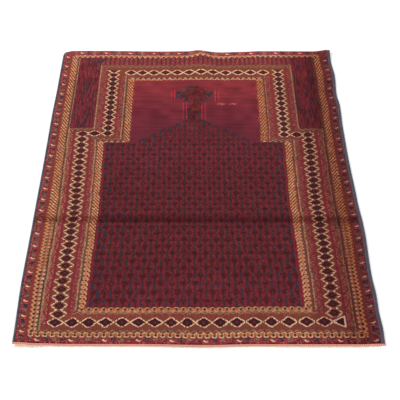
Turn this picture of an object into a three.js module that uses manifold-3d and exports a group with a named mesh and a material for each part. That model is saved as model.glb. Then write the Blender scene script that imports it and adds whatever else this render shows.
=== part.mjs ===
// A hand-knotted wool prayer rug, laid out flat. Millimetres, +Z up, the floor at z = 0.
// +X is the right-hand side and +Y the far end, the way the arch of the pattern points.
// The rug is one knotted sheet. Along each side runs an overcast cord, and along each end
// a whipped band that holds the trimmed warp ends.

import * as THREE from "three";
import { mergeVertices } from "three/addons/utils/BufferGeometryUtils.js";
import Module from "manifold-3d";

const wasm = await Module();
wasm.setup();

// Driving dimensions

const PILE_WIDTH = 844; // knotted sheet, between the two side cords
const PILE_LENGTH = 1336; // knotted sheet, between the two end bands
const THICKNESS = 7; // foundation and pile together
const RIM_THICKNESS = 5; // at the very edge, where the pile rounds over
const RIM_WIDTH = 3; // width of that rounded rim
const GAP = 0.3; // clearance between neighbouring pieces

const CORD_SIZE = 5.4; // one overcast cord of the right-hand side
const LEFT_CORD_SIZE = 6; // the single cord of the left-hand side
const CORD_FLAT = 0.4; // how much of each cord's underside is pressed flat on the floor
const CORD_OVERLAP = 0.4; // how far one cord is pressed into the next
const CORD_MEETING = 52; // degrees from level at which two neighbouring cords meet

const BAND_DEPTH = 4; // whipped band along each end, measured away from the pile
const BAND_HEIGHT = 3.6;
const STRAND_WIDTH = 1.8; // one lock of trimmed warp ends
const STRAND_HEIGHT = 1.3;
const STRAND_ROOT = 2.2; // how far a lock is buried in the band
const STRAND_DRIFT = 1.5; // the most that a lock's tip strays to one side
const STRAND_TIP = 0.55; // thickness of a lock's tip as a share of its root's
const STRAND_LENGTH_CHANGE = 0.3; // how much the locks' lengths differ, as a share
const STRAND_SPACING_CHANGE = 0.18; // and their spacing
const STRAND_SEEDS = { place: 0, length: 500, drift: 900 };
const STRANDS = { near: 140, far: 90 };

const ROUND_CORNER = 27; // radius of the drooping far left corner
const SIDE_REACH = 90; // how far in from a side its drift is still felt
const END_REACH = 170; // the same for the two ends

// Drift of the four edges: how far outside its straight line the edge lies at each place

const LEFT_EDGE = [
  { y: -668, out: -1 }, { y: -450, out: 2.5 }, { y: -200, out: 1 }, { y: 60, out: 0 },
  { y: 290, out: 0.5 }, { y: 450, out: -1.5 }, { y: 668, out: -2 },
];
const RIGHT_EDGE = [
  { y: -668, out: 0 }, { y: -620, out: 1.5 }, { y: -560, out: -0.5 }, { y: -500, out: 1 },
  { y: -430, out: -1.5 }, { y: -250, out: 2.5 }, { y: -120, out: -1.5 }, { y: 80, out: -4 },
  { y: 220, out: -3 }, { y: 350, out: 0.5 }, { y: 410, out: -3 }, { y: 530, out: 2.5 },
  { y: 600, out: -1 }, { y: 668, out: 0 },
];
const NEAR_EDGE = [
  { x: -422, out: -6 }, { x: -370, out: -2 }, { x: -290, out: 0 }, { x: -130, out: 0 },
  { x: 20, out: 3 }, { x: 125, out: 0 }, { x: 370, out: 0 }, { x: 422, out: -2 },
];
const FAR_EDGE = [
  { x: -422, out: 0 }, { x: -300, out: 1 }, { x: -120, out: -2 }, { x: -30, out: 0 },
  { x: 30, out: 0 }, { x: 80, out: -6 }, { x: 150, out: -2 }, { x: 210, out: 3 }, { x: 422, out: 2.5 },
];

// The ridge that runs in from the far end: its height, place and half width at each distance
// back from the end

const RIDGE_FLANK = 1.6; // the ridge runs out at this many half widths from its top
const END_RIDGE = [
  { back: 0, high: 4.5, at: 8, half: 24 },
  { back: 24, high: 10.5, at: 14, half: 26 },
  { back: 60, high: 7.5, at: 20, half: 30 },
  { back: 120, high: 3.8, at: 22, half: 42 },
  { back: 200, high: 1, at: 22, half: 60 },
  { back: 260, high: 0, at: 22, half: 60 },
];

// The crease left by storing the rug folded: its height across the width

const FOLD_CREASE = { y: -200, half: 17 };
const FOLD_CREASE_HEIGHT = [
  { x: -422, high: 0.4 }, { x: -320, high: 1.4 }, { x: -120, high: 2.2 }, { x: 60, high: 1.8 },
  { x: 300, high: 2.4 }, { x: 422, high: 0.6 },
];

// The far right corner curls up a little

const CURLED_CORNER = { reach: 48, high: 6.5, steepness: 1.6 };

// How far the trimmed warp ends reach beyond their band

const NEAR_STRAND_LENGTH = [
  { x: -422, long: 9.5 }, { x: -385, long: 8 }, { x: -340, long: 3.5 }, { x: -200, long: 3 },
  { x: 20, long: 3.6 }, { x: 130, long: 2.6 }, { x: 230, long: 4 }, { x: 422, long: 3 },
];
const FAR_STRAND_LENGTH = [
  { x: -422, long: 3 }, { x: -120, long: 4 }, { x: 140, long: 3 }, { x: 422, long: 4.5 },
];

// Where the sheet is divided, closer together where it bends: from each stop to the next

const ACROSS = [
  { to: -PILE_WIDTH / 2 + RIM_WIDTH, step: RIM_WIDTH },
  { to: -PILE_WIDTH / 2 + ROUND_CORNER, step: 8 },
  { to: -60, step: 48 },
  { to: 100, step: 13.5 },
  { to: PILE_WIDTH / 2 - CURLED_CORNER.reach, step: 46 },
  { to: PILE_WIDTH / 2 - RIM_WIDTH, step: 15 },
  { to: PILE_WIDTH / 2, step: RIM_WIDTH },
];
const ALONG = [
  { to: -PILE_LENGTH / 2 + RIM_WIDTH, step: RIM_WIDTH },
  { to: FOLD_CREASE.y - 2 * FOLD_CREASE.half, step: 33 },
  { to: FOLD_CREASE.y + 2 * FOLD_CREASE.half, step: 11.4 },
  { to: PILE_LENGTH / 2 - 210, step: 33 },
  { to: PILE_LENGTH / 2 - 60, step: 25 },
  { to: PILE_LENGTH / 2 - ROUND_CORNER, step: 16 },
  { to: PILE_LENGTH / 2 - RIM_WIDTH, step: 8 },
  { to: PILE_LENGTH / 2, step: RIM_WIDTH },
];

// Small helpers

function ease(t) {
  const c = THREE.MathUtils.clamp(t, 0, 1);
  return c * c * (3 - 2 * c);
}

// Reads a table at a place between its rows, with a soft change from row to row.
function readTable(rows, key, value, place) {
  if (place <= rows[0][key]) return rows[0][value];
  for (let i = 1; i < rows.length; i += 1) {
    if (place <= rows[i][key]) {
      const t = (place - rows[i - 1][key]) / (rows[i][key] - rows[i - 1][key]);
      return THREE.MathUtils.lerp(rows[i - 1][value], rows[i][value], ease(t));
    }
  }
  return rows[rows.length - 1][value];
}

// A repeatable uneven number between -1 and 1 for each lock of warp ends.
function uneven(i) {
  const s = Math.sin(i * 12.9898 + 4.1) * 43758.5453;
  return 2 * (s - Math.floor(s)) - 1;
}

// Even divisions from one stop to the next, no coarser than each stop's step.
function divide(start, stops) {
  const places = [start];
  for (const { to, step } of stops) {
    const from = places[places.length - 1];
    const count = Math.max(1, Math.round((to - from) / step));
    for (let i = 1; i <= count; i += 1) places.push(from + ((to - from) * i) / count);
  }
  return places;
}

// The lie of the sheet

// How high the underside lies above the floor at a place on the flat sheet.
function liftAt(x, y) {
  const back = PILE_LENGTH / 2 - y;
  const high = readTable(END_RIDGE, "back", "high", back);
  const halfWidth = readTable(END_RIDGE, "back", "half", back);
  const fromTop = Math.abs(x - readTable(END_RIDGE, "back", "at", back)) / halfWidth;
  const ridge = high * (1 - ease(fromTop / RIDGE_FLANK));

  const fromCrease = Math.abs(y - FOLD_CREASE.y) / (2 * FOLD_CREASE.half);
  const crease = readTable(FOLD_CREASE_HEIGHT, "x", "high", x) * (1 - ease(fromCrease));

  const fromCorner = Math.hypot(PILE_WIDTH / 2 - x, back) / CURLED_CORNER.reach;
  const curl = CURLED_CORNER.high * Math.max(0, 1 - fromCorner) ** CURLED_CORNER.steepness;

  return ridge + crease + curl;
}

// Moves a place on the flat sheet to where it lies on the floor: the edges wander, and the
// far left corner is rounded.
function layDown(flatX, flatY) {
  const halfWidth = PILE_WIDTH / 2;
  const halfLength = PILE_LENGTH / 2;
  let x = flatX;
  let y = flatY;
  const a = (ROUND_CORNER - (flatX + halfWidth)) / ROUND_CORNER;
  const b = (ROUND_CORNER - (halfLength - flatY)) / ROUND_CORNER;
  if (a > 0 && b > 0) {
    x = ROUND_CORNER - halfWidth - ROUND_CORNER * a * Math.sqrt(1 - (b * b) / 2);
    y = halfLength - ROUND_CORNER + ROUND_CORNER * b * Math.sqrt(1 - (a * a) / 2);
  }
  const nearLeft = 1 - ease((flatX + halfWidth) / SIDE_REACH);
  const nearRight = 1 - ease((halfWidth - flatX) / SIDE_REACH);
  const nearFront = 1 - ease((flatY + halfLength) / END_REACH);
  const nearBack = 1 - ease((halfLength - flatY) / END_REACH);
  x -= nearLeft * readTable(LEFT_EDGE, "y", "out", flatY);
  x += nearRight * readTable(RIGHT_EDGE, "y", "out", flatY);
  y -= nearFront * readTable(NEAR_EDGE, "x", "out", flatX);
  y += nearBack * readTable(FAR_EDGE, "x", "out", flatX);
  return new THREE.Vector2(x, y);
}

function thicknessAt(x, y) {
  const toSide = PILE_WIDTH / 2 - Math.abs(x);
  const toEnd = PILE_LENGTH / 2 - Math.abs(y);
  const inside = THREE.MathUtils.clamp(Math.min(toSide, toEnd) / RIM_WIDTH, 0, 1);
  return THREE.MathUtils.lerp(RIM_THICKNESS, THICKNESS, inside);
}

// Solids

function closedGeometry(positions, triangles) {
  const geometry = new THREE.BufferGeometry();
  geometry.setAttribute("position", new THREE.Float32BufferAttribute(positions, 3));
  geometry.setIndex(triangles);
  return geometry;
}

// The knotted sheet: a grid of top points, the same grid below, and the rim between them.
function knottedSheet() {
  const xs = divide(-PILE_WIDTH / 2, ACROSS);
  const ys = divide(-PILE_LENGTH / 2, ALONG);
  const positions = [];
  for (const above of [1, 0]) {
    for (const y of ys) {
      for (const x of xs) {
        const spot = layDown(x, y);
        positions.push(spot.x, spot.y, liftAt(x, y) + above * thicknessAt(x, y));
      }
    }
  }
  const layer = xs.length * ys.length;
  const top = (i, j) => j * xs.length + i;
  const under = (i, j) => layer + top(i, j);
  const triangles = [];
  const quad = (a, b, c, d) => triangles.push(a, b, c, a, c, d);
  const lastX = xs.length - 1;
  const lastY = ys.length - 1;
  for (let j = 0; j < lastY; j += 1) {
    for (let i = 0; i < lastX; i += 1) {
      quad(top(i, j), top(i + 1, j), top(i + 1, j + 1), top(i, j + 1));
      quad(under(i, j + 1), under(i + 1, j + 1), under(i + 1, j), under(i, j));
    }
    quad(top(0, j), top(0, j + 1), under(0, j + 1), under(0, j));
    quad(top(lastX, j + 1), top(lastX, j), under(lastX, j), under(lastX, j + 1));
  }
  for (let i = 0; i < lastX; i += 1) {
    quad(top(i + 1, 0), top(i, 0), under(i, 0), under(i + 1, 0));
    quad(top(i, lastY), top(i + 1, lastY), under(i + 1, lastY), under(i, lastY));
  }
  return closedGeometry(positions, triangles);
}

// The stations of an edge, in order around the rug with the sheet on the left: the place on
// the rim, the way out from it, and the height of the underside.
function rimStations(flatPlaces) {
  const spots = flatPlaces.map(({ x, y }) => layDown(x, y));
  return spots.map((spot, i) => {
    const before = spots[Math.max(0, i - 1)];
    const after = spots[Math.min(spots.length - 1, i + 1)];
    const way = after.clone().sub(before).normalize();
    const { x, y } = flatPlaces[i];
    return { spot, out: new THREE.Vector2(way.y, -way.x), lift: liftAt(x, y), flatX: x };
  });
}

function placeOn(station, out, up) {
  const { spot, out: way, lift } = station;
  return [spot.x + way.x * out, spot.y + way.y * out, lift + up];
}

// Carries a section along the stations of an edge. The section's points go out from the rim
// and up from the floor, anticlockwise as seen against the direction of travel.
function sweep(stations, section) {
  const positions = stations.flatMap((station) => section.flatMap(([out, up]) => placeOn(station, out, up)));
  const count = section.length;
  const triangles = [];
  for (let s = 0; s < stations.length - 1; s += 1) {
    for (let k = 0; k < count; k += 1) {
      const a = s * count + k;
      const b = s * count + ((k + 1) % count);
      triangles.push(a, a + count, b + count, a, b + count, b);
    }
  }
  const outline = section.map(([out, up]) => new THREE.Vector2(out, up));
  const last = (stations.length - 1) * count;
  for (const [a, b, c] of THREE.ShapeUtils.triangulateShape(outline, [])) {
    triangles.push(a, b, c, last + a, last + c, last + b);
  }
  return closedGeometry(positions, triangles);
}

// The section of overcast cords lying side by side, a little flattened below.
function cordSection(size, cords) {
  const radius = size / 2;
  const points = [];
  const add = (cord, degrees) => {
    const angle = THREE.MathUtils.degToRad(degrees);
    const middle = GAP + radius + cord * (size - CORD_OVERLAP);
    const up = radius - CORD_FLAT + radius * Math.sin(angle);
    points.push([middle + radius * Math.cos(angle), Math.max(0, up)]);
  };
  const last = cords - 1;
  for (let cord = 0; cord < cords; cord += 1) {
    const from = cord === 0 ? -112 : -90;
    const to = cord === last ? 0 : -CORD_MEETING;
    for (const degrees of [from, (from + to) / 2, to]) add(cord, degrees);
  }
  for (let cord = last; cord >= 0; cord -= 1) {
    const from = cord === last ? 45 : CORD_MEETING;
    const to = cord === 0 ? 180 : 180 - CORD_MEETING;
    for (const share of [0, 0.5, 1]) add(cord, THREE.MathUtils.lerp(from, to, share));
  }
  return points;
}

function sideCords(flatX, upward, size, cords) {
  const ys = divide(-PILE_LENGTH / 2, ALONG);
  if (!upward) ys.reverse();
  const places = ys.map((y) => ({ x: flatX, y }));
  return sweep(rimStations(places), cordSection(size, cords));
}

const BAND_SECTION = [
  [GAP, 0], [GAP + BAND_DEPTH, 0], [GAP + BAND_DEPTH, 0.45 * BAND_HEIGHT],
  [GAP + 0.8 * BAND_DEPTH, 0.85 * BAND_HEIGHT], [GAP + 0.5 * BAND_DEPTH, BAND_HEIGHT],
  [GAP + 0.15 * BAND_DEPTH, 0.9 * BAND_HEIGHT], [GAP, 0.7 * BAND_HEIGHT],
];

// Lengthens the end of an edge's run, so that a band also closes off the cord beside it.
function lengthen(station, neighbour, by) {
  const way = station.spot.clone().sub(neighbour.spot).normalize();
  return { ...station, spot: station.spot.clone().addScaledVector(way, by) };
}

// One lock of trimmed warp ends: a three-sided sliver lying on the floor, thinner at its tip.
function strand(station, along, length, drift) {
  const tipLift = Math.max(0, station.lift - length / 2);
  const sections = [
    { out: GAP + BAND_DEPTH - STRAND_ROOT, size: 1, shift: 0, lift: station.lift },
    { out: GAP + BAND_DEPTH + length, size: STRAND_TIP, shift: drift, lift: tipLift },
  ];
  const positions = sections.flatMap(({ out, size, shift, lift }) => {
    const at = { ...station, lift };
    const beside = (side, up) => {
      const [x, y, z] = placeOn(at, out, up);
      const step = shift + side;
      return [x + along.x * step, y + along.y * step, z];
    };
    const half = (size * STRAND_WIDTH) / 2;
    return [...beside(-half, 0), ...beside(half, 0), ...beside(0, size * STRAND_HEIGHT)];
  });
  const ends = [0, 2, 1, 3, 4, 5];
  const sides = [0, 1, 4, 0, 4, 3, 1, 2, 5, 1, 5, 4, 2, 0, 3, 2, 3, 5];
  return closedGeometry(positions, [...ends, ...sides]);
}

function solidOf(geometry) {
  const merged = mergeVertices(geometry);
  return new wasm.Manifold(new wasm.Mesh({
    numProp: 3,
    vertProperties: new Float32Array(merged.attributes.position.array),
    triVerts: new Uint32Array(merged.index.array),
  }));
}

function geometryOf(solid) {
  const mesh = solid.getMesh();
  return closedGeometry(Array.from(mesh.vertProperties), Array.from(mesh.triVerts));
}

// A point part of the way along a run of stations.
function between(stations, share) {
  const place = share * (stations.length - 1);
  const i = Math.min(stations.length - 2, Math.floor(place));
  const t = place - i;
  const a = stations[i];
  const b = stations[i + 1];
  return {
    spot: a.spot.clone().lerp(b.spot, t),
    out: a.out.clone().lerp(b.out, t).normalize(),
    lift: THREE.MathUtils.lerp(a.lift, b.lift, t),
    flatX: THREE.MathUtils.lerp(a.flatX, b.flatX, t),
  };
}

// The same stations at even distances, so that the locks keep an even spacing.
function evenShare(stations, wanted) {
  const lengths = [0];
  for (let i = 1; i < stations.length; i += 1) {
    lengths.push(lengths[i - 1] + stations[i].spot.distanceTo(stations[i - 1].spot));
  }
  const target = wanted * lengths[lengths.length - 1];
  let i = 1;
  while (i < lengths.length - 1 && lengths[i] < target) i += 1;
  return (i - 1 + (target - lengths[i - 1]) / (lengths[i] - lengths[i - 1])) / (stations.length - 1);
}

// An end band with its warp ends, joined into one solid.
function endBand(stations, count, lengthTable) {
  const pieces = [solidOf(sweep(stations, BAND_SECTION))];
  for (let i = 0; i < count; i += 1) {
    const share = (i + 0.5 + STRAND_SPACING_CHANGE * uneven(STRAND_SEEDS.place + i)) / count;
    const station = between(stations, evenShare(stations, share));
    const along = new THREE.Vector2(-station.out.y, station.out.x);
    const usual = readTable(lengthTable, "x", "long", station.flatX);
    const length = usual * (1 + STRAND_LENGTH_CHANGE * uneven(STRAND_SEEDS.length + i));
    const drift = STRAND_DRIFT * uneven(STRAND_SEEDS.drift + i);
    pieces.push(solidOf(strand(station, along, length, drift)));
  }
  return geometryOf(wasm.Manifold.union(pieces));
}

function nearBand() {
  const places = divide(-PILE_WIDTH / 2, ACROSS).map((x) => ({ x, y: -PILE_LENGTH / 2 }));
  const stations = rimStations(places);
  const last = stations.length - 1;
  stations[0] = lengthen(stations[0], stations[1], LEFT_CORD_SIZE);
  stations[last] = lengthen(stations[last], stations[last - 1], 2 * CORD_SIZE);
  return endBand(stations, STRANDS.near, NEAR_STRAND_LENGTH);
}

function farBand() {
  const xs = divide(-PILE_WIDTH / 2, ACROSS).reverse();
  const stations = rimStations(xs.map((x) => ({ x, y: PILE_LENGTH / 2 })));
  const last = stations.length - 1;
  stations[0] = lengthen(stations[0], stations[1], 2 * CORD_SIZE);
  stations[last] = lengthen(stations[last], stations[last - 1], -2 * GAP);
  return endBand(stations, STRANDS.far, FAR_STRAND_LENGTH);
}

// The pieces, each with its own material

const knottedWool = new THREE.MeshStandardMaterial({ color: 0x6b2a2f, roughness: 0.95, metalness: 0 });
const goatHair = new THREE.MeshStandardMaterial({ color: 0x4d5560, roughness: 0.9, metalness: 0 });
const darkGoatHair = new THREE.MeshStandardMaterial({ color: 0x3c434c, roughness: 0.9, metalness: 0 });
const whippedWool = new THREE.MeshStandardMaterial({ color: 0xdd8272, roughness: 0.9, metalness: 0 });
const plainEndWool = new THREE.MeshStandardMaterial({ color: 0xd9b9a0, roughness: 0.9, metalness: 0 });

function piece(name, geometry, material) {
  geometry.computeVertexNormals();
  const mesh = new THREE.Mesh(geometry, material);
  mesh.name = name;
  return mesh;
}

const rug = new THREE.Group();
rug.add(piece("rug_body", knottedSheet(), knottedWool));
rug.add(piece("selvedge_left", sideCords(-PILE_WIDTH / 2, false, LEFT_CORD_SIZE, 1), darkGoatHair));
rug.add(piece("selvedge_right", sideCords(PILE_WIDTH / 2, true, CORD_SIZE, 2), goatHair));
rug.add(piece("end_band_near", nearBand(), whippedWool));
rug.add(piece("end_band_far", farBand(), plainEndWool));

// The origin is on the floor under the middle of the whole rug.
const middle = new THREE.Box3().setFromObject(rug).getCenter(new THREE.Vector3());
rug.position.set(-middle.x, -middle.y, 0);
rug.updateMatrixWorld(true);

export default rug;
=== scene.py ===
"""A hand-knotted wool prayer rug, laid out flat in a plain studio.

Metres in the frame, millimetres in the sizes below. +X is the right-hand side and +Y the far end,
the way the arch of the pattern points. The pattern is charted knot by knot, as a weaver's is.
"""

import logging
import math
from dataclasses import dataclass, field
from enum import Enum, IntEnum

import bpy
import numpy as np
from mathutils import Matrix, Vector


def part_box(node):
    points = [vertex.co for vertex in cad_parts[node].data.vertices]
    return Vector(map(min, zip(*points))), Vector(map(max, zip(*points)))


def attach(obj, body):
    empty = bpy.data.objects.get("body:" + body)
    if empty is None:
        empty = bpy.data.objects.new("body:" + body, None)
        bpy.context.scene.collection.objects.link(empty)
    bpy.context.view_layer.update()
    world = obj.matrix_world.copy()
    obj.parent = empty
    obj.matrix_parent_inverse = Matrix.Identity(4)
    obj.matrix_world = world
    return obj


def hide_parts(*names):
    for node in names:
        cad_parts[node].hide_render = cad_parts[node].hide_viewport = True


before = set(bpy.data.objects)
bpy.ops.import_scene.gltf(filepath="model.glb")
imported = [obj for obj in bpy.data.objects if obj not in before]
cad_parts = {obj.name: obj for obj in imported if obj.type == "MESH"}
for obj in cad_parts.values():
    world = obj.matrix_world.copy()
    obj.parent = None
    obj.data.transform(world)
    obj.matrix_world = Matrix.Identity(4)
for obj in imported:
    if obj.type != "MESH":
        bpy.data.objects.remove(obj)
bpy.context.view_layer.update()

log = logging.getLogger("rug")

MM = 0.001
KNOTS_WIDE = 402  # knots from side to side, one every 2.1 mm
KNOTS_LONG = 636  # rows of knots from the near end to the far end
BLOCK_WIDE = 3  # knots across one face of the pile
BLOCK_LONG = 2  # rows along one face of the pile
DYE_COUNT = 16  # as many dyes as four bits can number
LEFT_OPEN = 255  # stands for a dot of a motif, where the knot stays as it is
JUST_UNDER = 0.999  # a share that stays inside the last line of a repeat
SLIVER = 0.01  # knots by which a place is kept inside its block
NOISE_CELLS = 256  # cells of noise each way before it repeats
EDGE_SAMPLES = 2001  # stations that find the outermost place of an edge

Table = tuple[tuple[float, ...], ...]


class Dye(IntEnum):
    """The dyed wools of the pile."""

    MAROON = 0
    BROWN = 1
    BLACK_BROWN = 2
    CRIMSON = 3
    DARK_CRIMSON = 4
    NAVY = 5
    PEACH = 6
    ORANGE = 7
    CREAM = 8
    OLIVE = 9
    DARK_OLIVE = 10
    RUST = 11
    WINE = 12
    RED_WINE = 13
    ROSE = 14
    PLUM = 15


# Each dye as it looks in plain daylight.
DYE_COLOURS: dict[Dye, str] = {
    Dye.MAROON: "#67292e",
    Dye.BROWN: "#521a1b",
    Dye.BLACK_BROWN: "#3a1b1e",
    Dye.CRIMSON: "#b3283a",
    Dye.DARK_CRIMSON: "#7c2331",
    Dye.NAVY: "#302f3c",
    Dye.PEACH: "#cb8c68",
    Dye.ORANGE: "#a85e36",
    Dye.CREAM: "#e4be9d",
    Dye.OLIVE: "#977454",
    Dye.DARK_OLIVE: "#664d3d",
    Dye.RUST: "#793e2c",
    Dye.WINE: "#6a2631",
    Dye.RED_WINE: "#833138",
    Dye.ROSE: "#ad5f57",
    Dye.PLUM: "#55232c",
}

# Letters of the charted motifs.
LETTERS: dict[str, Dye] = {
    "m": Dye.MAROON, "b": Dye.BROWN, "d": Dye.BLACK_BROWN, "r": Dye.CRIMSON,
    "k": Dye.DARK_CRIMSON, "n": Dye.NAVY, "h": Dye.PEACH, "o": Dye.ORANGE,
    "c": Dye.CREAM, "y": Dye.OLIVE, "v": Dye.DARK_OLIVE, "u": Dye.RUST,
    "w": Dye.WINE, "e": Dye.RED_WINE, "s": Dye.ROSE, "p": Dye.PLUM,
}


class Finish(Enum):
    """The record's material slots."""

    PILE = "knotted_wool_pile"
    LEFT_CORD = "goat_hair_overcast_dark"
    RIGHT_CORD = "goat_hair_overcast"
    BAND = "whipped_wool_end"


# Small helpers


def linear(colour: str) -> tuple[float, float, float, float]:
    """Turns an sRGB hex value to linear light.

    Args:
        colour: Six hex digits after a hash.

    Returns:
        Red, green, blue and an alpha of one.
    """
    parts = [int(colour[i : i + 2], 16) / 255 for i in (1, 3, 5)]
    low = [p / 12.92 if p <= 0.04045 else ((p + 0.055) / 1.055) ** 2.4 for p in parts]
    return (low[0], low[1], low[2], 1.0)


def ease(share: np.ndarray) -> np.ndarray:
    """Returns 0 to 1 with a soft start and a soft end."""
    held = np.clip(share, 0.0, 1.0)
    return held * held * (3.0 - 2.0 * held)


def read_table(rows: Table, column: int, place: np.ndarray) -> np.ndarray:
    """Reads a table between its rows, with a soft change from row to row.

    Args:
        rows: Rows whose first number is the place.
        column: Which number of a row is read.
        place: Where the table is read.

    Returns:
        The values at those places.
    """
    stops = np.array([row[0] for row in rows])
    values = np.array([row[column] for row in rows])
    held = np.clip(np.asarray(place, float), stops[0], stops[-1])
    upper = np.clip(np.searchsorted(stops, held, "left"), 1, len(stops) - 1)
    share = (held - stops[upper - 1]) / (stops[upper] - stops[upper - 1])
    return values[upper - 1] + (values[upper] - values[upper - 1]) * ease(share)


def soft_noise(across: np.ndarray, along: np.ndarray, seed: int) -> np.ndarray:
    """Returns smooth uneven numbers from -1 to 1, one cell of noise to each unit of the places.

    Args:
        across: Places one way.
        along: Places the other way.
        seed: Which pattern of numbers.

    Returns:
        One number for each pair of places.
    """
    values = np.random.default_rng(seed).uniform(-1, 1, (NOISE_CELLS, NOISE_CELLS))
    low_x, low_y = np.floor(across).astype(int), np.floor(along).astype(int)
    share_x, share_y = ease(across - low_x), ease(along - low_y)

    def corner(step_x: int, step_y: int) -> np.ndarray:
        """Returns the number at one corner of each cell."""
        return values[(low_x + step_x) % NOISE_CELLS, (low_y + step_y) % NOISE_CELLS]

    near = corner(0, 0) * (1 - share_x) + corner(1, 0) * share_x
    far = corner(0, 1) * (1 - share_x) + corner(1, 1) * share_x
    return near * (1 - share_y) + far * share_y


def make_object(name: str, points: np.ndarray, faces: list | np.ndarray) -> bpy.types.Object:
    """Makes a mesh object in the frame.

    Args:
        name: The piece's name.
        points: Corners in metres.
        faces: Corner numbers of each face.

    Returns:
        The object, linked to the scene.
    """
    mesh = bpy.data.meshes.new(name)
    rows = faces.tolist() if isinstance(faces, np.ndarray) else faces
    mesh.from_pydata(points.tolist(), [], rows)
    mesh.validate()
    mesh.update()
    made = bpy.data.objects.new(name, mesh)
    bpy.context.scene.collection.objects.link(made)
    return made


def shade_smooth(piece: bpy.types.Object) -> None:
    """Shades every face of a piece smoothly."""
    piece.data.polygons.foreach_set("use_smooth", [True] * len(piece.data.polygons))


def corner_points(mesh: bpy.types.Mesh) -> np.ndarray:
    """Lists the point at every face corner of a mesh.

    Args:
        mesh: The mesh.

    Returns:
        The points' numbers.
    """
    numbers = np.empty(len(mesh.loops), np.int32)
    mesh.loops.foreach_get("vertex_index", numbers)
    return numbers


def write_places(mesh: bpy.types.Mesh, name: str, places: np.ndarray) -> None:
    """Writes a pair of numbers to every face corner of a mesh."""
    mesh.uv_layers.new(name=name).data.foreach_set("uv", places.astype(np.float32).ravel())


def set_inputs(tree: bpy.types.NodeTree, node: bpy.types.Node, inputs: dict) -> None:
    """Sets or links inputs of a node.

    Args:
        tree: The material's nodes.
        node: The node.
        inputs: A value, or the output socket to link, for each input by name or number.

    Returns:
        Nothing.
    """
    for key, value in inputs.items():
        if isinstance(value, bpy.types.NodeSocket):
            tree.links.new(value, node.inputs[key])
        else:
            node.inputs[key].default_value = value


def add_node(
    tree: bpy.types.NodeTree, kind: str, settings: dict | None = None, inputs: dict | None = None,
) -> bpy.types.Node:
    """Adds a node with its settings and its inputs.

    Args:
        tree: The material's nodes.
        kind: The node's type.
        settings: Properties of the node itself.
        inputs: A value, or the output socket to link, for each input by name or number.

    Returns:
        The new node.
    """
    node = tree.nodes.new(kind)
    for key, value in (settings or {}).items():
        setattr(node, key, value)
    set_inputs(tree, node, inputs or {})
    return node


def sum_of(tree: bpy.types.NodeTree, operation: str, *terms: object) -> bpy.types.NodeSocket:
    """Adds a sum to the nodes.

    Args:
        tree: The material's nodes.
        operation: What the sum does.
        *terms: Numbers or output sockets.

    Returns:
        The result's socket.
    """
    numbered = dict(enumerate(terms))
    return add_node(tree, "ShaderNodeMath", {"operation": operation}, numbered).outputs[0]


def vector_sum(tree: bpy.types.NodeTree, operation: str, *terms: object) -> bpy.types.NodeSocket:
    """Adds a sum of vectors to the nodes.

    Args:
        tree: The material's nodes.
        operation: What the sum does.
        *terms: Vectors or output sockets.

    Returns:
        The result's socket.
    """
    numbered = dict(enumerate(terms))
    return add_node(tree, "ShaderNodeVectorMath", {"operation": operation}, numbered).outputs[0]


def scaled(
    tree: bpy.types.NodeTree, colour: bpy.types.NodeSocket, factor: bpy.types.NodeSocket
) -> bpy.types.NodeSocket:
    """Adds a colour multiplied by one factor to the nodes.

    Args:
        tree: The material's nodes.
        colour: The colour.
        factor: The factor.

    Returns:
        The result's socket.
    """
    inputs = {0: colour, "Scale": factor}
    return add_node(tree, "ShaderNodeVectorMath", {"operation": "SCALE"}, inputs).outputs[0]


def noise(
    tree: bpy.types.NodeTree, dimensions: str, place: bpy.types.NodeSocket, scale: float, detail: float
) -> bpy.types.Node:
    """Adds noise to the nodes.

    Args:
        tree: The material's nodes.
        dimensions: One of 1D, 2D and 3D.
        place: Where the noise is read.
        scale: How many of its cells lie in one unit.
        detail: How many finer layers it has.

    Returns:
        The noise.
    """
    reads = "W" if dimensions == "1D" else "Vector"
    inputs = {reads: place, "Scale": scale, "Detail": detail}
    return add_node(tree, "ShaderNodeTexNoise", {"noise_dimensions": dimensions}, inputs)


def ramp_of(
    tree: bpy.types.NodeTree, share: bpy.types.NodeSocket, low: tuple[float, str], high: tuple[float, str]
) -> bpy.types.NodeSocket:
    """Adds a soft change from one colour to another.

    Args:
        tree: The material's nodes.
        share: Where it is read.
        low: The share up to which the first colour stays pure, and that colour.
        high: The share from which the second colour is pure, and that colour.

    Returns:
        The colour's socket.
    """
    ramp = add_node(tree, "ShaderNodeValToRGB", None, {0: share})
    for stop, (place, colour) in zip(ramp.color_ramp.elements, (low, high)):
        stop.position = place
        stop.color = linear(colour)
    return ramp.outputs["Color"]


def bump_of(
    tree: bpy.types.NodeTree, strength: float, distance: float, height: bpy.types.NodeSocket
) -> bpy.types.NodeSocket:
    """Adds a relief that the shader sees.

    Args:
        tree: The material's nodes.
        strength: How strong it is.
        distance: How high it is, in metres.
        height: Its height's socket.

    Returns:
        The normal's socket.
    """
    inputs = {"Strength": strength, "Distance": distance, "Height": height}
    return add_node(tree, "ShaderNodeBump", None, inputs).outputs[0]


def new_material(name: str) -> tuple[bpy.types.Material, bpy.types.NodeTree, bpy.types.Node]:
    """Makes a material with only its shader and output.

    Args:
        name: The material's name.

    Returns:
        The material, its nodes and its shader.
    """
    material = bpy.data.materials.new(name)
    material.use_nodes = True
    return material, material.node_tree, material.node_tree.nodes["Principled BSDF"]


# How the rug lies


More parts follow.
